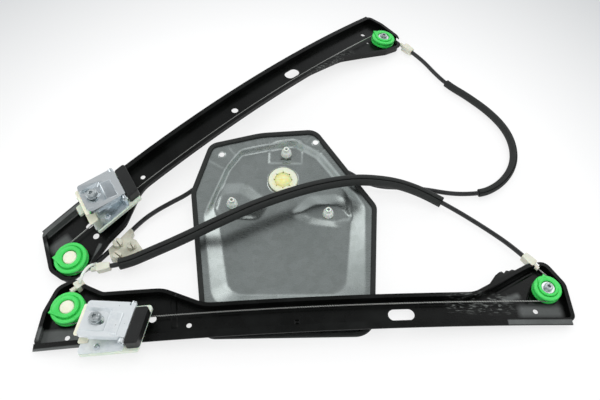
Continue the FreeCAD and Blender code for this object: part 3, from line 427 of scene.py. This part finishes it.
def softened(node, width, material, segments=2, sharpest=32):
    # the node's own shape with its edges rounded by a small radius, as pressed or moulded parts have
    bm = bmesh.new()
    bm.from_mesh(nodes[node].data)
    for layer in list(bm.loops.layers.float_vector):
        bm.loops.layers.float_vector.remove(layer)
    bmesh.ops.remove_doubles(bm, verts=bm.verts, dist=mergeGap * mm)
    if node in wheelTurns:
        place, axis = jointNamed(node + "_spin")
        turn = Matrix.Rotation(math.radians(wheelTurns[node]), 3, axis)
        bmesh.ops.rotate(bm, verts=bm.verts, cent=place, matrix=turn)
    bmesh.ops.dissolve_limit(bm, angle_limit=math.radians(0.4), verts=bm.verts, edges=bm.edges)
    limit = math.radians(sharpest)
    sharp = [e for e in bm.edges if len(e.link_faces) == 2 and e.calc_face_angle(0) > limit]
    bmesh.ops.bevel(bm, geom=sharp, offset=width * mm, affect="EDGES", segments=segments, profile=0.5,
                    material=-1, clamp_overlap=True)
    mesh = meshFrom(bm, node + "Soft")
    for attribute in [a for a in mesh.attributes if a.name == "custom_normal"]:
        mesh.attributes.remove(attribute)
    smoothShade(mesh)
    piece = addPiece(node + ".finished", mesh, material, bodyOf(node))
    weighted = piece.modifiers.new("weighted", "WEIGHTED_NORMAL")
    weighted.keep_sharp = True
    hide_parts(node)


def dress(node, material):
    piece = nodes[node]
    if not piece.material_slots:
        piece.data.materials.append(material)
    for slot in piece.material_slots:
        slot.material = material


finishes = dict(
    rail_a=satinPaint["a"], rail_b=satinPaint["b"], wire_a=wireSteel, wire_b=wireSteel,
    wire_nipples_a=zincSmall, wire_nipples_b=zincSmall, drive_panel=galvanised, panel_gasket=foamRubber,
    loop_sleeve=foamRubber, long_sleeve=foamRubber, drum_housing=frostedNylon,
    drum_ferrule_a=naturalNylon, drum_ferrule_b=naturalNylon,
    end_fitting_a_left=naturalNylon, end_fitting_a_right=naturalNylon,
    end_fitting_b_left=naturalNylon, end_fitting_b_right=naturalNylon,
    conduit_clip=clipNylon, conduit_liner=frostedNylon, cable_drum=greasedHub,
    wheel_a_left=greenAcetal, wheel_a_right=greenAcetal, wheel_b_left=greenAcetal, wheel_b_right=greenAcetal,
    hub_rivet_a=creamPlastic, hub_rivet_b=creamPlastic, slide_shoe_a=shoePlastic, slide_shoe_b=shoePlastic,
    base_pad_a=creamPlastic, base_pad_b=creamPlastic, jaw_pad_a=creamPlastic, jaw_pad_b=creamPlastic,
    hub_bolt_a=zincSmall, hub_bolt_b=zincSmall, hub_washer_a=zincSmall, hub_washer_b=zincSmall,
    base_plate_a=zincClamp, base_plate_b=zincPaintedLight, base_rivet_a=zincClamp, base_rivet_b=zincClamp,
    clamp_nut_a=zincSmall, clamp_nut_b=zincSmall, hinge_pin_a=zincSmall, hinge_pin_b=zincSmall,
    jaw_plate_a=zincClamp, jaw_plate_b=zincPaintedLight, clamp_washer_a=zincSmall, clamp_washer_b=zincSmall,
    clamp_screw_a=zincSmall, clamp_screw_b=zincSmall, end_block_a=blackNylon, end_block_b=blackNylon,
    conduit_one=conduitSkin, conduit_two=conduitSkin, conduit_three=conduitSkin,
)
for node, material in finishes.items():
    dress(node, material)
print("dressed:", len(finishes))

# Rounded edges, in millimetres, on the parts whose edges catch the light
edgeRadii = dict(
    rail_a=0.35, rail_b=0.35, wheel_a_left=0.3, wheel_a_right=0.3, wheel_b_left=0.3, wheel_b_right=0.3,
    jaw_plate_a=0.5, jaw_plate_b=0.5, base_plate_a=0.35, base_plate_b=0.35, end_block_a=0.5, end_block_b=0.5,
    slide_shoe_a=0.4, slide_shoe_b=0.4, clamp_screw_a=0.3, clamp_screw_b=0.3, clamp_nut_a=0.3, clamp_nut_b=0.3,
    hub_bolt_a=0.3, hub_bolt_b=0.3, hub_rivet_a=0.4, hub_rivet_b=0.4, conduit_clip=0.5,
    end_fitting_a_left=0.5, end_fitting_a_right=0.5, end_fitting_b_left=0.5, end_fitting_b_right=0.5,
    drum_housing=0.4, jaw_pad_a=0.3, jaw_pad_b=0.3, base_pad_a=0.3, base_pad_b=0.3,
    clamp_washer_a=0.25, clamp_washer_b=0.25, base_rivet_a=0.3, base_rivet_b=0.3,
)
for node, width in edgeRadii.items():
    softened(node, width, finishes[node])
print("softened:", len(edgeRadii))


# Raised teardrop lips on top of the wheels and the two small bosses on each nose, in millimetres, and where the
# noses point, in degrees from +X
wheelLips = dict(large=dict(body=12.6, nose=19.2, bore=8.3, height=2.3),
                 small=dict(body=10.4, nose=16.0, bore=7.6, height=1.7),
                 noses=dict(a_left=180, a_right=145, b_left=200, b_right=100), level=9.75, edge=0.6)
noseBoss = dict(foot=1.5, top=1.1, depth=0.5, fromNose=4.2, aside=1.4, above=0.1, turn=0.5)


def teardropRing(bm, radius, nose):
    # a circle whose points near -X move out to the two lines that meet in the nose
    ring = bmesh.ops.create_circle(bm, cap_ends=False, segments=72, radius=radius * mm)["verts"]
    tangent = math.acos(min(1.0, radius / nose))
    for v in ring:
        away = abs(math.atan2(v.co.y, -v.co.x))
        if away < tangent:
            v.co *= 1 / math.cos(tangent - away)
    return [e for e in bm.edges if e.verts[0] in ring and e.verts[1] in ring]


def makeWheelLip(wheel):
    values = wheelLips["large" if wheel.endswith("left") else "small"]
    place, axis = jointNamed("wheel_" + wheel + "_spin")
    bm = bmesh.new()
    outer = teardropRing(bm, values["body"], values["nose"])
    inner = teardropRing(bm, values["bore"], values["bore"])
    bmesh.ops.bridge_loops(bm, edges=outer + inner)
    raiseFaces(bm, bm.faces[:], values["height"])
    crest = [e for e in bm.edges if all(v.co.z > 0.5 * values["height"] * mm for v in e.verts)
             and e.calc_face_angle(0) > 0.7]
    bmesh.ops.bevel(bm, geom=crest, offset=wheelLips["edge"] * mm, affect="EDGES", segments=3, profile=0.5,
                    material=-1)
    for side in (-1, 1):
        boss = bmesh.ops.create_cone(bm, cap_ends=True, segments=3, radius1=noseBoss["foot"] * mm,
                                     radius2=noseBoss["top"] * mm, depth=noseBoss["depth"] * mm)["verts"]
        turn = Matrix.Rotation(side * noseBoss["turn"], 3, "Z")
        bmesh.ops.rotate(bm, verts=boss, cent=(0, 0, 0), matrix=turn)
        bmesh.ops.translate(bm, verts=boss, vec=(
            (noseBoss["fromNose"] - values["nose"]) * mm, side * noseBoss["aside"] * mm,
            (values["height"] + noseBoss["above"]) * mm))
    heading = Matrix.Rotation(math.radians(wheelLips["noses"][wheel] - 180), 4, "Z")
    lean = Vector((0, 0, 1)).rotation_difference(axis).to_matrix().to_4x4()
    seat = Matrix.Translation(place + axis * wheelLips["level"] * mm)
    bmesh.ops.transform(bm, matrix=seat @ lean @ heading, verts=bm.verts)
    mesh = meshFrom(bm, "wheelLip")
    smoothShade(mesh, 40)
    piece = addPiece("wheel_" + wheel + ".lip", mesh, greenAcetal, "wheel_" + wheel)


for wheel in wheelLips["noses"]:
    makeWheelLip(wheel)
print("wheel lips made")


# A scalloped tab of the lower rail's far right flange, in the rail's own coordinates and on its arc, in millimetres
railTab = dict(outline=[(181.3, 1.9), (187.3, -5.6), (193.4, -13.1), (198.3, -16.9), (201.2, -17.9), (203.4, -15.7),
                        (206.3, -19.0), (209.4, -18.4), (213.1, -20.2), (218.0, -18.6), (214.0, -13.0), (196.0, -2.5),
                        (184.0, 4.0)],
               level=9.65, sheet=1.2, arc=2500, half=270, edge=0.35)


def makeRailTab():
    place = railPlaces["b"]
    turn = Matrix.Rotation(math.radians(place["turn"]), 3, "Z")
    bm = bmesh.new()
    ring = []
    ends = math.sqrt(railTab["arc"] ** 2 - railTab["half"] ** 2)
    for along, across in railTab["outline"]:
        rise = math.sqrt(railTab["arc"] ** 2 - along ** 2) - ends
        spot = turn @ Vector((along, across * place["side"], railTab["level"] + rise))
        ring.append(bm.verts.new((spot + Vector((*place["middle"], 0))) * mm))
    raiseFaces(bm, [bm.faces.new(ring)], -railTab["sheet"])
    rim = [e for e in bm.edges if e.calc_face_angle(0) > 1.2]
    bmesh.ops.bevel(bm, geom=rim, offset=railTab["edge"] * mm, affect="EDGES", segments=2, profile=0.5, material=-1)
    mesh = meshFrom(bm, "railTab")
    smoothShade(mesh, 40)
    addPiece("rail_b.tab", mesh, satinPaint["b"], bodyOf("rail_b"))


makeRailTab()
print("rail tab made")


# Jaws: the raised field beside each hinge, its start and stop from the hinge pin, its half length along the pin
jawField = dict(start=5.0, stop=18.5, half=12.0, rise=1.9, slope=1.7)


def makeJawField(rail):
    node = "jaw_plate_" + rail
    pivot, pin = jointNamed("jaw_" + rail + "_tilt")
    bm = bmesh.new()
    bm.from_mesh(nodes[node].data)
    tree = BVHTree.FromBMesh(bm)
    away = sum((v.co for v in bm.verts), Vector()) / len(bm.verts) - pivot
    bm.free()
    away = (away - pin * away.dot(pin)).normalized()
    spots = [tree.ray_cast(pivot + away * reach * mm + Vector((0, 0, 0.05)), Vector((0, 0, -1)))[0]
             for reach in (jawField["start"] + 1, jawField["stop"] - 1)]
    along = (spots[1] - spots[0]).normalized()
    up = along.cross(pin) if along.cross(pin).z > 0 else pin.cross(along)
    middle = (spots[0] + spots[1]) / 2
    bm = bmesh.new()
    bmesh.ops.create_cube(bm, size=1)
    sizes = (jawField["stop"] - jawField["start"], 2 * jawField["half"], 2 * jawField["rise"])
    bmesh.ops.scale(bm, verts=bm.verts, vec=[size * mm for size in sizes])
    crest = [e for e in bm.edges if all(v.co.z > 0 for v in e.verts)]
    bmesh.ops.bevel(bm, geom=crest, offset=jawField["slope"] * mm, affect="EDGES", segments=4, profile=0.5,
                    material=-1)
    seat = Matrix((along, up.cross(along), up)).transposed().to_4x4()
    bmesh.ops.transform(bm, matrix=Matrix.Translation(middle) @ seat, verts=bm.verts)
    bmesh.ops.recalc_face_normals(bm, faces=bm.faces)
    mesh = meshFrom(bm, "jawField")
    smoothShade(mesh, 40)
    addPiece(node + ".field", mesh, finishes[node], bodyOf(node))


for rail in "ab":
    makeJawField(rail)
print("jaw fields made")


# Drive panel: one drawn sheet, its press radii rounded on a fine grid that hangs on the node's own top

# Its place is in metres. In the panel's plane, in millimetres: the recess from and to on both axes and its depth,
# the two ends of each crease, the creases' depth and half width
panelSheet = dict(place=(-0.02122, -0.03858, 0.02895), tilt=7.5, thickness=1.0, step=1.1, rounding=4,
                  recess=(-16.5, 20.5, 23.0, 48.0, 1.0), creaseDepth=0.9, creaseHalf=3.2,
                  creases=[((-60.3, 38.3), (-54.8, 30.7)), ((-82.4, 20.8), (-67.4, 11.9)),
                           ((23.9, 47.0), (29.0, 54.9)), ((40.1, 32.6), (50.2, 43.2))])


def panelFrame():
    turn = Matrix.Rotation(math.radians(panelSheet["tilt"]), 4, "X")
    return Matrix.Translation(panelSheet["place"]) @ turn


def distanceTo(place, start, stop):
    # from a point to a line between two points, in the panel's own plane
    along = Vector(stop) - Vector(start)
    share = max(0.0, min(1.0, (place - Vector(start)).dot(along) / along.length_squared))
    return (place - Vector(start) - along * share).length


def makePanelSheet():
    toPanel = panelFrame().inverted()
    node = bmesh.new()
    node.from_mesh(nodes["drive_panel"].data)
    bmesh.ops.transform(node, matrix=toPanel, verts=node.verts)
    bmesh.ops.remove_doubles(node, verts=node.verts, dist=mergeGap * mm)
    bmesh.ops.recalc_face_normals(node, faces=node.faces)
    under = [f for f in node.faces if f.normal.z < 0.12]
    bmesh.ops.delete(node, geom=under, context="FACES")
    top = BVHTree.FromBMesh(node)
    rims = [(e.verts[0].co.copy(), e.verts[1].co.copy()) for e in node.edges if e.is_boundary]
    low = [min(v.co[i] for v in node.verts) for i in (0, 1)]
    high = [max(v.co[i] for v in node.verts) for i in (0, 1)]
    step = panelSheet["step"] * mm
    bm = bmesh.new()
    bmesh.ops.create_grid(bm, x_segments=round((high[0] - low[0]) / step), y_segments=round((high[1] - low[1]) / step),
                          size=0.5)
    bmesh.ops.scale(bm, verts=bm.verts, vec=(high[0] - low[0], high[1] - low[1], 1))
    bmesh.ops.translate(bm, verts=bm.verts, vec=((low[0] + high[0]) / 2, (low[1] + high[1]) / 2, 0))
    missed = []
    for v in bm.verts:
        place = top.ray_cast(Vector((v.co.x, v.co.y, 0.1)), Vector((0, 0, -1)))[0]
        if place is None:
            missed.append(v)
        else:
            v.co.z = place.z
    bmesh.ops.delete(bm, geom=missed, context="VERTS")
    loose = [v for v in bm.verts if len(v.link_faces) < 2]
    bmesh.ops.delete(bm, geom=loose, context="VERTS")
    x0, x1, y0, y1, depth = panelSheet["recess"]
    for v in bm.verts:
        x, y = v.co.x / mm, v.co.y / mm
        if x0 < x < x1 and y0 < y < y1:
            v.co.z -= depth * mm
        for start, stop in panelSheet["creases"]:
            near = distanceTo(Vector((x, y)), start, stop)
            v.co.z -= panelSheet["creaseDepth"] * mm * max(0.0, 1 - near / panelSheet["creaseHalf"])
    rim = [v for v in bm.verts if v.is_boundary]
    inner = [v for v in bm.verts if not v.is_boundary]
    for turn in range(panelSheet["rounding"]):
        bmesh.ops.smooth_vert(bm, verts=inner, factor=0.5, use_axis_z=True)
    for v in rim:
        best = min(rims, key=lambda pair: nearestOn(v.co, pair)[1])
        v.co = nearestOn(v.co, best)[0]
    inside = [v for v in inner if any(e.other_vert(v).is_boundary for e in v.link_edges)]
    bmesh.ops.smooth_vert(bm, verts=inside, factor=0.5, use_axis_x=True, use_axis_y=True)
    bmesh.ops.transform(bm, matrix=panelFrame(), verts=bm.verts)
    mesh = meshFrom(bm, "panelSheet")
    smoothShade(mesh, 60)
    piece = addPiece("panel.sheet", mesh, galvanised, bodyOf("drive_panel"))
    thickened(piece, "wall", panelSheet["thickness"])
    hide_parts("drive_panel")


def nearestOn(place, pair):
    # nearest point of a short edge, seen from above, and how far off it is
    start, stop = pair
    along = stop - start
    flat = Vector((along.x, along.y))
    share = 0.0
    if flat.length > 1e-9:
        share = (Vector((place.x, place.y)) - Vector((start.x, start.y))).dot(flat) / flat.length_squared
    point = start + along * max(0.0, min(1.0, share))
    return point, math.hypot(place.x - point.x, place.y - point.y)


makePanelSheet()
softened("panel_gasket", 1.2, foamRubber, 3)
print("panel sheet made")

# Grease that fills the drum's drive hole, in millimetres: its height is from the panel's plane
grease = dict(radius=9.3, height=-7.4, thickness=1.8, sides=48, rings=7, ringWidth=1.15, lumps=0.55, dip=0.9)


def fillWithGrease():
    bm = bmesh.new()
    bmesh.ops.create_circle(bm, cap_ends=True, segments=grease["sides"], radius=grease["radius"] * mm)
    for shrink in range(grease["rings"]):
        disc = [f for f in bm.faces if len(f.verts) == grease["sides"]]
        bmesh.ops.inset_region(bm, faces=disc, thickness=grease["ringWidth"] * mm)
    bmesh.ops.poke(bm, faces=[f for f in bm.faces if len(f.verts) == grease["sides"]])
    for v in bm.verts:
        reach = v.co.length / (grease["radius"] * mm)
        lump = noise.noise(v.co * 420) * 0.7 + noise.noise(v.co * 900) * 0.3
        v.co.z = (grease["lumps"] * lump * (1 - reach ** 6) - grease["dip"] * (1 - reach ** 2) ** 2) * mm
    bmesh.ops.translate(bm, verts=bm.verts, vec=(0, 0, grease["height"] * mm))
    bmesh.ops.transform(bm, matrix=panelFrame(), verts=bm.verts)
    mesh = meshFrom(bm, "grease")
    smoothShade(mesh, 60)
    piece = addPiece("drum.grease", mesh, yellowGrease, "drum")
    thickened(piece, "body", grease["thickness"])


fillWithGrease()
print("grease made")


# Conduits: flexible housings between the drum and the rail ends. Routes are in metres, the rest in millimetres

conduits = dict(
    one=dict(node="conduit_one", diameter=5.2, length=465, route=[
        (0.02888, -0.01567, 0.01583), (0.04078, -0.01567, 0.01583), (0.05428, -0.02008, 0.01455),
        (0.06828, -0.02958, 0.01225), (0.08828, -0.03558, 0.00925), (0.11228, -0.03458, 0.00725),
        (0.14028, -0.03558, 0.00625), (0.17028, -0.04258, 0.00725), (0.19628, -0.04258, 0.00825),
        (0.21228, -0.03858, 0.00825), (0.23128, -0.02458, 0.00825), (0.24628, -0.00158, 0.00825),
        (0.25128, 0.02542, 0.00825), (0.24628, 0.05442, 0.00825), (0.23028, 0.08242, 0.00825),
        (0.20528, 0.10942, 0.00825), (0.18428, 0.12742, 0.00825), (0.16928, 0.14742, 0.00825),
        (0.15368, 0.17322, 0.00885), (0.14168, 0.18652, 0.00875)]),
    two=dict(node="conduit_two", diameter=5.2, length=490, route=[
        (-0.19842, -0.15008, 0.01545), (-0.18092, -0.14748, 0.01815), (-0.15972, -0.13858, 0.02225),
        (-0.12572, -0.12758, 0.03325), (-0.08372, -0.10558, 0.03925), (-0.04472, -0.08458, 0.04125),
        (-0.00172, -0.06658, 0.04225), (0.03028, -0.05658, 0.04225), (0.05828, -0.05058, 0.04125),
        (0.08428, -0.04758, 0.03625), (0.10828, -0.04558, 0.02825), (0.13228, -0.04858, 0.01925),
        (0.15428, -0.05658, 0.01225), (0.17628, -0.06958, 0.00925), (0.20128, -0.08858, 0.00825),
        (0.22538, -0.11218, 0.01105), (0.23758, -0.12528, 0.00995)]),
    three=dict(node="conduit_three", diameter=5.2, length=199, route=[
        (-0.07132, -0.01567, 0.01583), (-0.08322, -0.01567, 0.01583), (-0.09572, -0.02108, 0.01525),
        (-0.10772, -0.03158, 0.01425), (-0.11872, -0.04358, 0.01275), (-0.13072, -0.05408, 0.01125),
        (-0.14572, -0.06358, 0.01025), (-0.16372, -0.07658, 0.00925), (-0.17772, -0.09158, 0.00925),
        (-0.19072, -0.11158, 0.00925), (-0.20472, -0.12908, 0.00975), (-0.21442, -0.14528, 0.01255)]),
    liner=dict(node="conduit_liner", diameter=3.2, length=30, route=[
        (-0.21442, -0.14528, 0.01255), (-0.21518, -0.14655, 0.01277), (-0.21852, -0.14958, 0.01605),
        (-0.22122, -0.15378, 0.01805), (-0.22372, -0.15908, 0.01845), (-0.22552, -0.16478, 0.01785),
        (-0.22652, -0.16858, 0.01615), (-0.22682, -0.16998, 0.01425)]),
)


def splineOf(name, route):
    curve = bpy.data.curves.new(name, "CURVE")
    curve.dimensions = "3D"
    curve.resolution_u = 10
    spline = curve.splines.new("NURBS")
    spline.points.add(len(route) - 1)
    for point, place in zip(spline.points, route):
        point.co = (*place, 1.0)
    spline.order_u = 3
    spline.use_endpoint_u = True
    return curve


def makeConduit(name, values, material):
    curve = splineOf(name, values["route"])
    curve.bevel_depth = values["diameter"] / 2 * mm
    curve.bevel_resolution = 4
    curve.use_fill_caps = True
    piece = bpy.data.objects.new(name, curve)
    bpy.context.scene.collection.objects.link(piece)
    curve.materials.append(material)
    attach(piece, "frame")
    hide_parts(values["node"])
    return piece


def pointsAlong(route):
    # the route's own spline as a line of points
    probe = bpy.data.objects.new("probe", splineOf("probe", route))
    bpy.context.scene.collection.objects.link(probe)
    line = bpy.data.meshes.new_from_object(probe.evaluated_get(bpy.context.evaluated_depsgraph_get()))
    points = [v.co.copy() for v in line.vertices]
    bpy.data.objects.remove(probe)
    return points


def partOf(points, start, stop):
    # the points between two lengths from the start, in metres
    kept = []
    travelled = 0.0
    for before, after in zip(points, points[1:]):
        travelled += (after - before).length
        if start <= travelled <= stop:
            kept.append(after)
    return kept


def makeSleeve(name, points, radius, wall, slit, slitTurn):
    # a split sleeve of foam rubber: an open ring of a section carried along the conduit, thickened inwards
    sides = 20
    bm = bmesh.new()
    rings = []
    upright = Vector((0, 0, 1))
    for index, place in enumerate(points):
        ahead = points[min(index + 1, len(points) - 1)] - points[max(index - 1, 0)]
        ahead.normalize()
        side = ahead.cross(upright).normalized()
        top = side.cross(ahead).normalized()
        ring = []
        for step in range(sides + 1):
            angle = slitTurn + slit / 2 + (2 * math.pi - slit) * step / sides
            ring.append(bm.verts.new(place + (side * math.cos(angle) + top * math.sin(angle)) * radius * mm))
        rings.append([bm.edges.new(pair) for pair in zip(ring, ring[1:])])
    for before, after in zip(rings, rings[1:]):
        bmesh.ops.bridge_loops(bm, edges=before + after)
    bmesh.ops.recalc_face_normals(bm, faces=bm.faces)
    mesh = meshFrom(bm, name)
    smoothShade(mesh, 50)
    piece = addPiece(name, mesh, foamRubber, "frame")
    thickened(piece, "wall", wall)
    return piece


for key, values in conduits.items():
    skin = frostedNylon if key == "liner" else conduitSkin
    makeConduit("conduit." + key, values, skin)


# Studio: white table that greys towards its edges as painted light falloff, pale tent whose top is darker, soft lamps

studio = dict(floorSize=8.0, tableWhite="#ffffff", paintedFalloffGrey="#a9adb0", fadeFrom=0.34, fadeTo=0.80,
              fadeShift=(0.02, 0.12, 0.0), glowShare=0.74, drop=0.3, tent="#fbfdff", horizon=0.85, zenith=0.36,
              paleBelow=0.45, darkAbove=0.93)
lamps = dict(
    softboxRight=dict(place=(0.86, 1.06, 1.18), size=0.9, watts=3.4, glossy=True),
    softboxLeft=dict(place=(-1.33, 0.54, 1.08), size=0.9, watts=2.8, glossy=True),
    softboxFront=dict(place=(0, -0.9, 1.6), size=0.7, watts=1.8, glossy=True),
    fillAbove=dict(place=(0.1, -0.2, 1.8), size=1.6, watts=17.0, glossy=False),
)
photoView = dict(place=(-0.00172, -0.55816, 0.70025), down=54, roll=1, lens=45.6, sensor=36)


def makeTable():
    material, tree = newMaterial("paperTable")
    point = objectPoint(tree)
    shift = addNode(tree, "ShaderNodeVectorMath", {0: point, 1: studio["fadeShift"]}, operation="ADD").outputs[0]
    away = addNode(tree, "ShaderNodeVectorMath", {0: shift}, operation="LENGTH").outputs["Value"]
    # white in the middle, greying away from it: painted falloff of light on the table, not the paper's own colour
    colour = twoColours(tree, spread(tree, away, 0, 1, studio["fadeFrom"], studio["fadeTo"]),
                        studio["tableWhite"], studio["paintedFalloffGrey"])
    paper = addNode(tree, "ShaderNodeBsdfDiffuse", {"Color": colour})
    glow = addNode(tree, "ShaderNodeEmission", {"Color": colour, "Strength": 1.0})
    path = addNode(tree, "ShaderNodeLightPath")
    seen = addNode(tree, "ShaderNodeMath", {
        0: path.outputs["Is Camera Ray"], 1: path.outputs["Is Glossy Ray"]}, operation="MAXIMUM").outputs[0]
    finishMaterial(tree, addNode(tree, "ShaderNodeMixShader", {
        "Fac": product(tree, seen, studio["glowShare"]), 1: paper.outputs[0], 2: glow.outputs[0]}))
    bm = bmesh.new()
    bmesh.ops.create_grid(bm, x_segments=1, y_segments=1, size=studio["floorSize"] / 2)
    bmesh.ops.translate(bm, verts=bm.verts, vec=(0, 0, -studio["drop"] * mm))
    table = bpy.data.objects.new("table", meshFrom(bm, "table"))
    bpy.context.scene.collection.objects.link(table)
    table.data.materials.append(material)


def makeWorld():
    world = bpy.data.worlds.new("tent")
    bpy.context.scene.world = world
    world.use_nodes = True
    tree = world.node_tree
    tree.nodes.clear()
    heading = addNode(tree, "ShaderNodeTexCoord").outputs["Generated"]
    height = addNode(tree, "ShaderNodeSeparateXYZ", {"Vector": heading}).outputs["Z"]
    level = addNode(tree, "ShaderNodeMapRange", {
        "Value": height, "From Min": studio["paleBelow"], "From Max": studio["darkAbove"],
        "To Min": studio["horizon"], "To Max": studio["zenith"]}, interpolation_type="SMOOTHSTEP").outputs[0]
    light = addNode(tree, "ShaderNodeBackground", {"Color": linear(studio["tent"]), "Strength": level})
    addNode(tree, "ShaderNodeOutputWorld", {"Surface": light.outputs[0]})


def makeLamp(name, place, size, watts, glossy):
    # an area lamp that faces the origin
    light = bpy.data.lights.new(name, "AREA")
    light.energy = watts
    light.size = size
    lamp = bpy.data.objects.new(name, light)
    lamp.location = place
    lamp.rotation_euler = (-Vector(place)).to_track_quat("-Z", "Y").to_euler()
    lamp.visible_glossy = glossy
    bpy.context.scene.collection.objects.link(lamp)


def makeCamera():
    # the photograph's view, fitted with a pinhole model
    pitch = math.radians(photoView["down"])
    roll = math.radians(photoView["roll"])
    ahead = Vector((0, math.cos(pitch), -math.sin(pitch)))
    right = Vector((1, 0, 0))
    up = Vector((0, math.sin(pitch), math.cos(pitch)))
    rolledRight = right * math.cos(roll) + up * math.sin(roll)
    rolledUp = up * math.cos(roll) - right * math.sin(roll)
    lens = bpy.data.cameras.new("photoView")
    lens.lens = photoView["lens"]
    lens.sensor_width = photoView["sensor"]
    lens.sensor_fit = "HORIZONTAL"
    camera = bpy.data.objects.new("photoView", lens)
    turn = Matrix((rolledRight, rolledUp, -ahead)).transposed()
    camera.matrix_world = Matrix.Translation(photoView["place"]) @ turn.to_4x4()
    bpy.context.scene.collection.objects.link(camera)
    bpy.context.scene.camera = camera


makeTable()
makeWorld()
for name, values in lamps.items():
    makeLamp(name, **values)
makeCamera()
bpy.context.scene.view_settings.view_transform = "Standard"
print("studio ready")


# Sleeves. A sleeve starts and stops at metres of its conduit, its slit and turn are in radians

sleeves = dict(
    loop=dict(node="loop_sleeve", on="one", start=0.177, stop=0.3986, radius=4.6, wall=1.2, slit=0.25, turn=0.9),
    long=dict(node="long_sleeve", on="two", start=0.0095, stop=0.386, radius=6.2, wall=2.4, slit=0.2, turn=1.2),
)
for key, values in sleeves.items():
    line = partOf(pointsAlong(conduits[values["on"]]["route"]), values["start"], values["stop"])
    piece = makeSleeve("sleeve." + key, line, values["radius"], values["wall"], values["slit"], values["turn"])
    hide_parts(values["node"])
